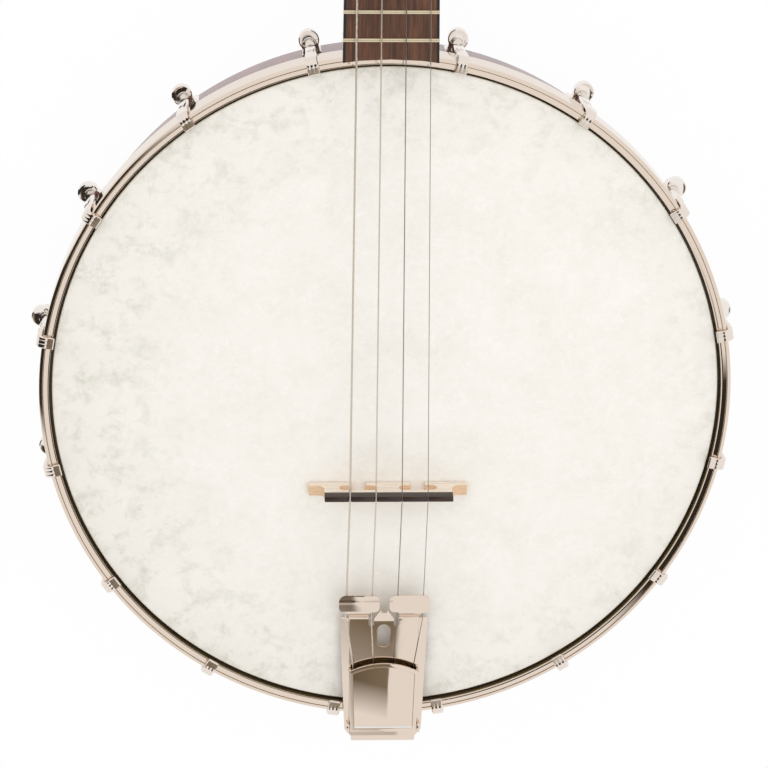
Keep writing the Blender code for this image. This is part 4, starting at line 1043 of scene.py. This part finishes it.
def shoe_plate(low):
    """The round plate: its top leans outwards and is dished inside a rounded rim."""
    plate = slab("shoe_cast", shoe_outline(0.0), low, SHOE_TOP - 0.4 * MM)
    edit(plate)
    select_faces(plate, lambda spot, normal: normal.z > 0.9)
    lean = math.radians(SHOE_LEAN)
    middle = (shoe_middle() - 1.5 * MM, 0.0, SHOE_TOP)
    bpy.ops.transform.rotate(value=-lean, orient_axis="Y", center_override=middle)
    bpy.ops.mesh.inset(thickness=0.45 * MM, depth=0.25 * MM)
    bpy.ops.mesh.inset(thickness=0.45 * MM, depth=-0.1 * MM)
    for fall in (0.08, 0.05, 0.02):
        bpy.ops.mesh.inset(thickness=0.9 * MM, depth=-fall * MM)
    finish_edit()
    return plate


def shoe_collar():
    """A low rounded ring on the plate, round the hook's shank."""
    hole = 2.2 * MM
    corners = [
        (hole, -0.6 * MM, 0.0),
        (hole, 0.25 * MM, 0.2 * MM),
        (hole + 0.75 * MM, 0.25 * MM, 0.3 * MM),
        (hole + 0.75 * MM, -0.6 * MM, 0.0),
    ]
    collar = lathe("shoe_collar", rounded_profile(corners), 40)
    spot = Vector((HOOP_RADIUS + GAP - 0.1 * MM, 0.0, SHOE_TOP - 0.3 * MM))
    lean = Matrix.Rotation(math.radians(SHOE_LEAN), 4, "Y")
    settle(collar, Matrix.Translation(spot) @ lean)
    return collar


def build_shoes():
    """Shapes one shoe with its bolt and nut, then copies it round the pot."""
    tongue_low = SHOE_TOP - 4.4 * MM
    shoe = shoe_plate(tongue_low)
    at_shoe = HOOP_RADIUS + GAP - 0.1 * MM
    drill(shoe, (at_shoe, 0.0, SHOE_TOP), 2.2 * MM)
    bevel(shoe, 0.3 * MM, 3, 40.0)
    foot_low = SHOE_TOP - 11.8 * MM
    foot = slab("shoe_foot", shoe_outline(2.3 * MM), foot_low, tongue_low + 0.8 * MM)
    bevel(foot, 0.4 * MM, 2, 50.0)
    middle = SHOE_TOP - 5.9 * MM
    inner = RIM_RADIUS - sizes().rim_wall
    turn = Matrix.Rotation(math.pi / 2, 4, "Y")
    nut = hex_nut("shoe_nut", (inner - GAP - 1.5 * MM, 0.0, middle), 4.0 * MM, 3.0 * MM, turn)
    length = RIM_RADIUS + 1.0 * MM - inner + 4.4 * MM
    bolt = rod("shoe_bolt", (inner - 4.4 * MM + length / 2, 0.0, middle), 2.2 * MM, length, turn)
    join(shoe, shoe_collar(), foot, nut, bolt)
    even(shoe)
    # The shoe's plate is moved half way to white: painted light.
    dress(shoe, nickel_plate("nickel_plate_shoe", 0.04, 0.002, 0.5))
    copy_round(shoe, SHOE_NODES, "cast", "nickel_shoe")


def build_copies(nodes, suffix, material, slot_name, body="banjo", edge=0.25 * MM, angle=35.0):
    """Dresses frame nodes of one kind: merged, with softened edges."""
    made = []
    for node in nodes:
        obj = copy_of(node, f"{node}_{suffix}")
        if edge:
            bevel(obj, edge, 2, angle)
        smooth(obj, 40.0)
        dress(obj, material)
        place(obj, body, slot_name, node)
        made.append(obj)
    return made


def tail_outline():
    """The flat sheet before it is bent: two fingers, the plate and the tongue."""
    notch = TAIL_NOTCH_Y
    lobe = TAIL_FRONT - LOBE
    waist = (6.5 * MM, 15.0 * MM)
    pocket = notch - 3.4 * MM
    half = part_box("tailpiece_frame")[1].x - POT.x
    end = TAIL_BEND_Y - math.pi / 2 * TAIL_BEND - (TAIL_LOW - TAIL_BEND - TAIL_END)
    lip = notch + 4.4 * MM
    right = [
        (1.5 * MM, lip, 0.6 * MM),
        (4.2 * MM, notch + 0.4 * MM, 1.5 * MM),
        (4.2 * MM, pocket, 0.9 * MM),
        (waist[0], pocket, 1.1 * MM),
        (waist[0], lobe, 1.2 * MM),
        (2.1 * MM, lobe, 2.4 * MM),
        (2.1 * MM, TAIL_FRONT, 2.2 * MM),
        (half, TAIL_FRONT, 3.0 * MM),
        (half, lobe, 3.0 * MM),
        (waist[1], lobe - 0.4 * MM, 2.2 * MM),
        (waist[1], notch + 0.4 * MM, 1.0 * MM),
        (18.9 * MM, notch, 0.9 * MM),
        (16.5 * MM, TAIL_BEND_Y + 2.6 * MM, 0.9 * MM),
        (13.8 * MM, TAIL_BEND_Y, 0.0),
        (7.5 * MM, end, 3.6 * MM),
    ]
    left = [(-x, y, radius) for x, y, radius in reversed(right)]
    return rounded_profile(right + left, CORNER_STEPS)


def bend_sheet(sheet, lift):
    """Folds the flat sheet: lifted fingers, sloping sides, a raised lip and the tongue."""
    ramp = 4.7 * MM
    middle = 5.6 * MM
    lip = TAIL_NOTCH_Y - 1.0 * MM
    for vertex in sheet.data.vertices:
        x, y, z = vertex.co
        if y > TAIL_BEND_Y:
            if abs(x) < middle and y > lip and y < TAIL_FRONT - LOBE - GAP:
                vertex.co.z += (y - lip) * LIP_SLOPE
            elif y > TAIL_NOTCH_Y + GAP:
                share = min((y - TAIL_NOTCH_Y) / ramp, 1.0)
                vertex.co.z += lift * share * share * (3.0 - 2.0 * share)
                vertex.co.z += lobe_roll(abs(x), y)
            vertex.co.z -= max(abs(x) - 15.0 * MM, 0.0) * 0.75 if y < TAIL_NOTCH_Y + GAP else 0.0
        else:
            run = TAIL_BEND_Y - y
            turn = min(run / TAIL_BEND, math.pi / 2)
            radius = TAIL_BEND + z - TAIL_LOW
            vertex.co.y = TAIL_BEND_Y - radius * math.sin(turn)
            vertex.co.z = TAIL_LOW - TAIL_BEND + radius * math.cos(turn)
            vertex.co.z -= run - turn * TAIL_BEND


def lobe_roll(x, y):
    """How far the fingers' ends are off level: raised in front, creased and rolled outwards."""
    run = max(y - TAIL_FRONT + LOBE, 0.0)
    inner = min(max((13.0 * MM - x) / (4.5 * MM), 0.0), 1.0)
    crease = math.exp(-(((run - 4.5 * MM) / (0.5 * MM)) ** 2))
    outer = max(x - 11.0 * MM, 0.0)
    return 0.032 * run * inner - 0.01 * outer + 0.012 * MM * crease - 0.28 * MM


def build_tail_frame(plate):
    sheet = slab("tailpiece_frame_bent", tail_outline(), TAIL_LOW, TAIL_LOW + SHEET)
    edit(sheet)
    for side in (8.5, 9.6, 10.8, 11.9, 13.0, 14.3, 14.8, 15.0):
        for sign in (-1, 1):
            spot = (sign * side * MM, 0, 0)
            slice_faces(sheet, spot, (1, 0, 0), lambda spot, normal: True)
    lines = [TAIL_NOTCH_Y - 1.0 * MM, TAIL_NOTCH_Y - 0.05 * MM]
    lines += [TAIL_NOTCH_Y + GAP + 4.4 * MM * step / 8 for step in range(9)]
    lines += [TAIL_FRONT - LOBE * step / 18 for step in range(1, 18)]
    lines += [TAIL_BEND_Y - TAIL_BEND * math.pi / 2 * step / 10 for step in range(11)]
    for y in lines:
        slice_faces(sheet, (0, y, 0), (0, 1, 0), lambda spot, normal: True)
    finish_edit()
    points = frame["nodes"]["tailpiece_frame"].data.vertices
    front = TAIL_FRONT + POT.y - 2.0 * MM
    lobe_top = max(point.co.z for point in points if point.co.y > front)
    bend_sheet(sheet, lobe_top - TAIL_LOW - SHEET)
    cut(sheet, slot_cutter(TAIL_NOTCH_Y - 7.7 * MM))
    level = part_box("tail_hanger_bolt")
    height = (level[0].z + level[1].z) / 2
    turn = Matrix.Rotation(math.pi / 2, 4, "X")
    cut(sheet, rod("hole", (0.0, TAIL_BACK, height), 3.3 * MM, 12.0 * MM, turn, 32))
    bevel(sheet, 0.22 * MM, 2, 50.0)
    fittings = [tail_ear(sign) for sign in (-1, 1)]
    for number in range(4):
        spot = ((number - 1.5) * 6.4 * MM, PIN_Y + 6.0 * MM, TAIL_LOW + SHEET + 0.5 * MM)
        fittings.append(rod("string_peg", spot, 0.8 * MM, 2.1 * MM))
    join(sheet, *fittings)
    even(sheet)
    settle(sheet, Matrix.Translation(POT))
    dress(sheet, plate)
    place(sheet, "banjo", "nickel_tailpiece", "tailpiece_frame")


def slot_cutter(middle):
    """Cuts the oval slot, dished at its upper edge."""
    rings = []
    for height, wider in ((-1.0, 0.0), (0.7, 0.0), (1.2, 0.6), (3.0, 0.6)):
        outline = oval(middle, 10.0 * MM + wider * MM, 5.4 * MM + wider * MM)
        rings.append([Vector((x, y, TAIL_LOW + height * MM)) for x, y in outline])
    return sweep("slot", rings)


def tail_ear(sign):
    """An upright ear of the frame, drilled for the hinge pin."""
    inner = cover_half_width(PIN_Y + 2.3 * MM) + GAP
    middle = sign * (inner + SHEET / 2)
    outline = [(-2.25 * MM, 0.0, 0.0), (2.25 * MM, 0.0, 0.0)]
    outline += [(2.25 * MM, 5.0 * MM, 1.6 * MM), (-2.25 * MM, 5.0 * MM, 1.6 * MM)]
    ear = slab("ear", rounded_profile(outline, CORNER_STEPS), -SHEET / 2, SHEET / 2)
    bevel(ear, 0.2 * MM, 2, 50.0)
    upright = Matrix(((0, 0, 1, 0), (1, 0, 0, 0), (0, 1, 0, 0), (0, 0, 0, 1)))
    low = PIN_Z - 3.1 * MM
    settle(ear, Matrix.Translation((middle, PIN_Y, low)) @ upright)
    return ear


def oval(centre_y, length, width, steps=32):
    """A slot outline with round ends, long along Y."""
    straight = (length - width) / 2
    points = []
    for step in range(steps):
        angle = math.tau * (step + 0.5) / steps
        y = centre_y + math.copysign(straight, math.sin(angle))
        points.append((width / 2 * math.cos(angle), y + width / 2 * math.sin(angle)))
    return points


def cover_half_width(y):
    share = (y - COVER_BACK) / COVER_LENGTH
    return (14.1 + 0.9 * share) * MM


def cover_outline():
    """The cover from above, a little wider in front, where its edge is bowed."""
    half = cover_half_width(COVER_BACK + COVER_LENGTH)
    back_half = cover_half_width(COVER_BACK)
    points = [(-back_half, COVER_BACK), (back_half, COVER_BACK)]
    steps = 28
    for step in range(steps + 1):
        x = half * (1 - 2 * step / steps)
        points.append((x, COVER_BACK + COVER_LENGTH + 3.8 * MM * (1 - (x / half) ** 2)))
    return points


def build_cover(plate):
    """A pressed lid: raised border, a crowned panel inside it, and walls round three sides."""
    low = TAIL_LOW + SHEET + 2 * GAP
    lid = slab("tailpiece_cover_pressed", cover_outline(), low, COVER_TOP)
    sheet = 1.0 * MM
    front = COVER_BACK + COVER_LENGTH
    inside = cover_half_width(front) - sheet
    pocket = [(-inside, COVER_BACK + sheet), (inside, COVER_BACK + sheet)]
    pocket += [(inside, front + 9.0 * MM), (-inside, front + 9.0 * MM)]
    cut(lid, slab("pocket", pocket, low - 5.0 * MM, COVER_TOP - sheet))
    edit(lid)
    select_faces(lid, lambda spot, normal: normal.z > 0.9 and spot.z > COVER_TOP - 0.1 * MM)
    bpy.ops.mesh.inset(thickness=1.6 * MM)
    bpy.ops.mesh.inset(thickness=0.2 * MM, depth=-0.35 * MM)
    level = COVER_TOP - 0.35 * MM

    def panel(spot, normal):
        return normal.z > 0.9 and abs(spot.z - level) < 0.02 * MM and spot.z > COVER_TOP - sheet

    for step in range(1, PANEL_STEPS):
        share = step / PANEL_STEPS
        slice_faces(lid, ((share - 0.5) * 28.0 * MM, 0, 0), (1, 0, 0), panel)
        y = COVER_BACK + share * (COVER_LENGTH + 3.8 * MM)
        slice_faces(lid, (0, y, 0), (0, 1, 0), panel)
    finish_edit()
    half = (COVER_LENGTH + 3.8 * MM) / 2
    for vertex in lid.data.vertices:
        if abs(vertex.co.z - level) < 0.02 * MM:
            along = (vertex.co.y - COVER_BACK - half) / half
            across = vertex.co.x / (14.0 * MM)
            vertex.co.z += ((1 - along**2) * 0.19 - across**2 * 0.08) * MM
    bevel(lid, 0.25 * MM, 2, 60.0)
    even(lid, 50.0)
    dress(lid, plate, dull_plate_painted_shade())
    # Faces under the lid and on the step round the panel take the dull plate, whose darker colour is
    # painted shade there.
    for face in lid.data.polygons:
        spot = face.center
        buried = abs(spot.x) < inside + 0.05 * MM and spot.z < COVER_TOP - 0.95 * sheet
        border = abs(spot.x) < cover_half_width(spot.y) - 1.4 * MM and spot.y > COVER_BACK + 1.4 * MM
        pressed = border and face.normal.z < 0.8 and level < spot.z and spot.y < front
        face.material_index = int(buried or pressed)
    end = cover_half_width(COVER_BACK) - 0.1 * MM
    turn = Matrix.Rotation(math.pi / 2, 4, "Y")
    knuckle = rod("knuckle", (0.0, PIN_Y, PIN_Z), 1.8 * MM, 2 * end, turn)
    smooth(knuckle)
    join(lid, knuckle)
    settle(lid, Matrix.Translation(POT))
    place(lid, "tailpiece_cover", "nickel_cover", "tailpiece_cover")


def build_bridge():
    """Planes the wings of the bridge, paints its front paler than its edges as painted light from the
    neck's side, and caps it.
    """
    bridge = copy_of("bridge", "bridge_blank")
    low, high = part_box("bridge")
    middle = (low + high) / 2
    half = high.x - middle.x
    joint = BRIDGE_TOP - sizes().bridge_cap
    for sign in (-1, 1):
        wing_end = half - 6.3 * MM
        sides = (middle.x + sign * wing_end, middle.x + sign * (half + MM))
        section = [(high.y + MM, low.z + 4.0 * MM), (high.y + MM, high.z + MM)]
        section += [(low.y - MM, high.z + MM), (low.y + 0.8 * MM, joint - 0.3 * MM)]
        rings = [[Vector((x, y, z)) for y, z in section] for x in sides]
        cut(bridge, sweep("wing_plane", rings))
    edit(bridge)
    bpy.ops.mesh.select_all(action="SELECT")
    bpy.ops.mesh.bisect(plane_co=(0.0, 0.0, joint), plane_no=(0.0, 0.0, 1.0))
    finish_edit()
    bevel(bridge, 0.2 * MM, 2, 40.0)
    smooth(bridge, 40.0)
    edge = bare_maple("maple_edge", tuple(colours().bridge))
    face = bare_maple("maple_front_painted_light", tuple(colours().bridge_lit_front))
    dress(bridge, edge, face, ebony())
    for polygon in bridge.data.polygons:
        # Faces that face along Y take the paler maple: painted light, as if lit from the neck's side.
        takes_painted_light = abs(polygon.normal.y) > 0.8
        polygon.material_index = 2 if polygon.center.z > joint else int(takes_painted_light)
    place(bridge, "banjo", "maple_bridge", "bridge")


def build_fingerboard():
    """Dresses the board, its frets and the black binding along both edges."""
    board = copy_of("fingerboard", "fingerboard_slab")
    points = [vertex.co.copy() for vertex in board.data.vertices]
    low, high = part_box("fingerboard")
    ends = []
    for y in (low.y, high.y):
        near = [point.x for point in points if abs(point.y - y) < 12.0 * MM]
        ends.append(max(near) - POT.x - 1.1 * MM)
    taper = (ends[1] - ends[0]) / (high.y - low.y)
    surface = high.z - 1.0 * MM
    edit(board)
    for sign in (-1, 1):
        spot = (POT.x + sign * ends[0], low.y, 0.0)
        slice_faces(board, spot, (sign, -taper, 0.0), lambda spot, normal: True)
    finish_edit()
    smooth(board, 40.0)
    dress(board, rosewood_board(), nickel_silver(), black_binding())
    for face in board.data.polygons:
        bound = ends[0] + taper * (face.center.y - low.y)
        edge = 2 * int(abs(face.center.x - POT.x) > bound)
        face.material_index = 1 if face.center.z > surface + 0.02 * MM else edge
    place(board, "banjo", "rosewood_board", "fingerboard")


# Studio


def seen_directly(tree):
    """1 for rays from the camera and for those that metal or glass sends on, 0 for soft light."""
    rays = add_node(tree, "ShaderNodeLightPath")
    share = rays.outputs["Is Camera Ray"]
    for name in ("Is Glossy Ray", "Is Transmission Ray"):
        inputs = {0: share, 1: rays.outputs[name]}
        share = add_node(tree, "ShaderNodeMath", {"operation": "MAXIMUM"}, inputs).outputs[0]
    return share


def studio_paper():
    """White seamless paper, lit until it burns out: white, with only a breath of shadow."""
    material, tree, shader = new_material(
        "studio_paper", base_color=(PAPER_TONE,) * 3, roughness=0.9
    )
    glow = add_node(tree, "ShaderNodeEmission", inputs={"Color": (1, 1, 1, 1), "Strength": 1.0})
    share = spread(tree, seen_directly(tree), 0.0, 1.0, 0.0, PAPER_GLOW)
    inputs = {0: share, 1: shader.outputs["BSDF"], 2: glow.outputs["Emission"]}
    mixed = add_node(tree, "ShaderNodeMixShader", inputs=inputs)
    tree.links.new(mixed.outputs["Shader"], tree.nodes["Material Output"].inputs["Surface"])
    return material


def build_floor():
    begin()
    bpy.ops.mesh.primitive_plane_add(size=FLOOR_SIZE, location=(0.0, 0.0, -0.5 * MM))
    floor = bpy.context.object
    name_it(floor, "studio_floor")
    settle(floor, floor.matrix_world.copy())
    dress(floor, studio_paper())


def build_stage():
    bpy.context.scene.view_settings.view_transform = "Standard"
    build_floor()
    build_lights()
    build_world()
    build_camera()


def add_softbox(name, place_mm, target_mm, size_mm, power):
    begin()
    bpy.ops.object.light_add(type="AREA", location=POT + Vector(place_mm) * MM)
    lamp = bpy.context.object
    name_it(lamp, name)
    lamp.data.shape = "RECTANGLE"
    lamp.data.size = size_mm[0] * MM
    lamp.data.size_y = size_mm[1] * MM
    lamp.data.energy = power
    aim = POT + Vector(target_mm) * MM - lamp.location
    lamp.rotation_euler = aim.to_track_quat("-Z", "Y").to_euler()
    lamp.visible_glossy = False
    return lamp


def build_lights():
    target = (0.0, 0.0, 50.0)
    add_softbox("softbox_left", (-700.0, 900.0, 1400.0), target, (900.0, 900.0), 3.0)
    add_softbox("softbox_right", (550.0, 250.0, 1350.0), target, (1200.0, 700.0), 3.2)


def build_world():
    """White tents all round but for the dark room on the left, towards the neck."""
    world = bpy.data.worlds.new("studio_air")
    bpy.context.scene.world = world
    world.use_nodes = True
    tree = world.node_tree
    coordinates = add_node(tree, "ShaderNodeTexCoord")
    split = add_node(
        tree, "ShaderNodeSeparateXYZ", inputs={"Vector": coordinates.outputs["Generated"]}
    )
    across, along, height = split.outputs
    slant = math_node(tree, "DIVIDE", across, math_node(tree, "MAXIMUM", height, 0.02))
    beside = spread(tree, slant, ROOM_EDGE + ROOM_EDGE_SOFT, ROOM_EDGE)
    start = spread(tree, slant, ROOM_EDGE - 0.1, ROOM_EDGE, ROOM_START_FAR, ROOM_START_NEAR)
    depth = math_node(tree, "SUBTRACT", along, start)
    beyond = spread(tree, depth, -ROOM_START_SOFT, ROOM_START_SOFT)
    before = spread(tree, along, ROOM_END + ROOM_END_SOFT, ROOM_END - ROOM_END_SOFT)
    dark = math_node(tree, "MULTIPLY", math_node(tree, "MULTIPLY", beside, beyond), before)
    depth_tone = spread(tree, slant, ROOM_EDGE - 0.075, ROOM_EDGE - 0.01)
    room = mix_colours(tree, depth_tone, linear(ROOM_COLOUR), linear(ROOM_EDGE_COLOUR))
    tents = mix_colours(tree, dark, (1.0, 1.0, 1.0), room)
    colour = mix_colours(tree, seen_directly(tree), (SOFT_LIGHT,) * 3, tents)
    tree.links.new(colour, tree.nodes["Background"].inputs["Color"])


def build_camera():
    begin()
    bpy.ops.object.camera_add()
    camera = bpy.context.object
    name_it(camera, "studio_camera")
    back = CAMERA_RIGHT.cross(CAMERA_UP).normalized()
    turn = Matrix((CAMERA_RIGHT, CAMERA_UP, back)).transposed().to_4x4()
    spot = POT + Vector((0.0, 0.0, HOOK_TOP)) + CAMERA_PLACE
    camera.matrix_world = Matrix.Translation(spot) @ turn
    camera.data.lens = CAMERA_LENS
    camera.data.sensor_width = 36.0
    camera.data.shift_x = CAMERA_SHIFT
    camera.data.clip_end = 20.0
    bpy.context.scene.camera = camera


# Operators


class BanjoOperator(bpy.types.Operator):
    bl_options = {"REGISTER", "UNDO"}


class BANJO_OT_stage(BanjoOperator):
    """Adds the floor, the studio lights, the world and the camera."""

    bl_idname = "banjo.stage"
    bl_label = "Studio"

    def execute(self, context):
        build_stage()
        return {"FINISHED"}


class BANJO_OT_rim(BanjoOperator):
    """Turns the wooden rim."""

    bl_idname = "banjo.rim"
    bl_label = "Rim"

    def execute(self, context):
        build_rim()
        return {"FINISHED"}


class BANJO_OT_head(BanjoOperator):
    """Stretches the head over the rim."""

    bl_idname = "banjo.head"
    bl_label = "Head"

    def execute(self, context):
        build_head()
        return {"FINISHED"}


class BANJO_OT_hoop(BanjoOperator):
    """Turns the grooved tension hoop."""

    bl_idname = "banjo.hoop"
    bl_label = "Tension hoop"

    def execute(self, context):
        build_hoop()
        return {"FINISHED"}


class BANJO_OT_hooks(BanjoOperator):
    """Makes the bracket hooks."""

    bl_idname = "banjo.hooks"
    bl_label = "Hooks"

    def execute(self, context):
        build_hooks()
        return {"FINISHED"}


class BANJO_OT_shoes(BanjoOperator):
    """Makes the bracket shoes with their bolts."""

    bl_idname = "banjo.shoes"
    bl_label = "Shoes"

    def execute(self, context):
        build_shoes()
        return {"FINISHED"}


class BANJO_OT_neck(BanjoOperator):
    """Makes the neck with its heel and peghead."""

    bl_idname = "banjo.neck"
    bl_label = "Neck"

    def execute(self, context):
        light = tuple(colours().neck)
        dark = tuple(value * 0.5 for value in light)
        mahogany, _, _ = straight_wood("lacquered_mahogany", light, dark, 2.5, 60.0, 0.28, 0.6)
        build_copies(["neck"], "carved", mahogany, "mahogany_neck", edge=0.0)
        return {"FINISHED"}


class BANJO_OT_fingerboard(BanjoOperator):
    """Makes the fretted fingerboard."""

    bl_idname = "banjo.fingerboard"
    bl_label = "Fingerboard"

    def execute(self, context):
        build_fingerboard()
        return {"FINISHED"}


class BANJO_OT_nut(BanjoOperator):
    """Makes the slotted nut."""

    bl_idname = "banjo.nut"
    bl_label = "Nut"

    def execute(self, context):
        build_copies(["nut"], "slotted", polished_bone(), "bone_nut", edge=0.15 * MM)
        return {"FINISHED"}


class BANJO_OT_bridge(BanjoOperator):
    """Makes the bridge with its dark cap."""

    bl_idname = "banjo.bridge"
    bl_label = "Bridge"

    def execute(self, context):
        build_bridge()
        return {"FINISHED"}


class BANJO_OT_strings(BanjoOperator):
    """Makes the four strings."""

    bl_idname = "banjo.strings"
    bl_label = "Strings"

    def execute(self, context):
        wound = string_wire("wound_steel", linear("#D9CFC2"), 0.3, 0.5)
        plain = string_wire("plain_steel", linear("#8F8A86"), 0.25)
        build_copies(STRING_NODES[:2], "wire", wound, "wound_string", edge=0.0)
        build_copies(STRING_NODES[2:], "wire", plain, "steel_string", edge=0.0)
        return {"FINISHED"}


class BANJO_OT_tailpiece(BanjoOperator):
    """Makes the tailpiece, its cover, its hinge pin and the bolt that holds it."""

    bl_idname = "banjo.tailpiece"
    bl_label = "Tailpiece"

    def execute(self, context):
        plate = nickel_plate("nickel_plate_tailpiece", 0.014, 0.003)
        build_tail_frame(plate)
        build_cover(plate)
        build_copies(["tailpiece_hinge_pin"], "turned", brushed_steel(), "steel_pin", edge=0.0)
        build_copies(["tail_hanger_bolt"], "turned", plate, "nickel_bolt", edge=0.0)
        return {"FINISHED"}


class BANJO_OT_tuners(BanjoOperator):
    """Makes the planetary tuners."""

    bl_idname = "banjo.tuners"
    bl_label = "Tuners"

    def execute(self, context):
        case = nickel_plate("nickel_plate_tuner", 0.1)
        button = pearloid()
        for n in TUNERS:
            build_copies([f"tuner_case_{n}"], "turned", case, "nickel_tuner_case", edge=0.0)
            post = f"tuner_post_{n}"
            build_copies([post], "turned", case, "nickel_post", post, 0.0)
            knob = f"tuner_button_{n}"
            build_copies([knob], "turned", button, "pearloid_button", knob, 0.0)
        return {"FINISHED"}


class BANJO_OT_coordinator(BanjoOperator):
    """Makes the rod that holds the neck to the pot."""

    bl_idname = "banjo.coordinator"
    bl_label = "Coordinator rod"

    def execute(self, context):
        build_copies(["coordinator_rod"], "turned", brushed_steel(), "steel_rod", edge=0.2 * MM)
        return {"FINISHED"}


OPERATORS = (
    BANJO_OT_stage,
    BANJO_OT_rim,
    BANJO_OT_head,
    BANJO_OT_hoop,
    BANJO_OT_hooks,
    BANJO_OT_shoes,
    BANJO_OT_neck,
    BANJO_OT_fingerboard,
    BANJO_OT_nut,
    BANJO_OT_bridge,
    BANJO_OT_strings,
    BANJO_OT_tailpiece,
    BANJO_OT_tuners,
    BANJO_OT_coordinator,
)


class BANJO_PT_panel(bpy.types.Panel):
    """Lists the steps that build the banjo."""

    bl_idname = "BANJO_PT_panel"
    bl_label = "Tenor banjo"
    bl_space_type = "VIEW_3D"
    bl_region_type = "UI"
    bl_category = "Banjo"

    def draw(self, context):
        for group in (context.scene.banjo_sizes, context.scene.banjo_colours):
            for name in group.__annotations__:
                self.layout.prop(group, name)
        for operator in OPERATORS:
            self.layout.operator(operator.bl_idname)


CLASSES = (BanjoSizes, BanjoColours, *OPERATORS, BANJO_PT_panel)


def register():
    for cls in CLASSES:
        bpy.utils.register_class(cls)
    bpy.types.Scene.banjo_sizes = PointerProperty(type=BanjoSizes)
    bpy.types.Scene.banjo_colours = PointerProperty(type=BanjoColours)


def unregister():
    del bpy.types.Scene.banjo_colours
    del bpy.types.Scene.banjo_sizes
    for cls in reversed(CLASSES):
        bpy.utils.unregister_class(cls)


def main():
    register()
    for operator in OPERATORS:
        group, name = operator.bl_idname.split(".")
        getattr(getattr(bpy.ops, group), name)()
    begin()


if __name__ == "__main__":
    main()
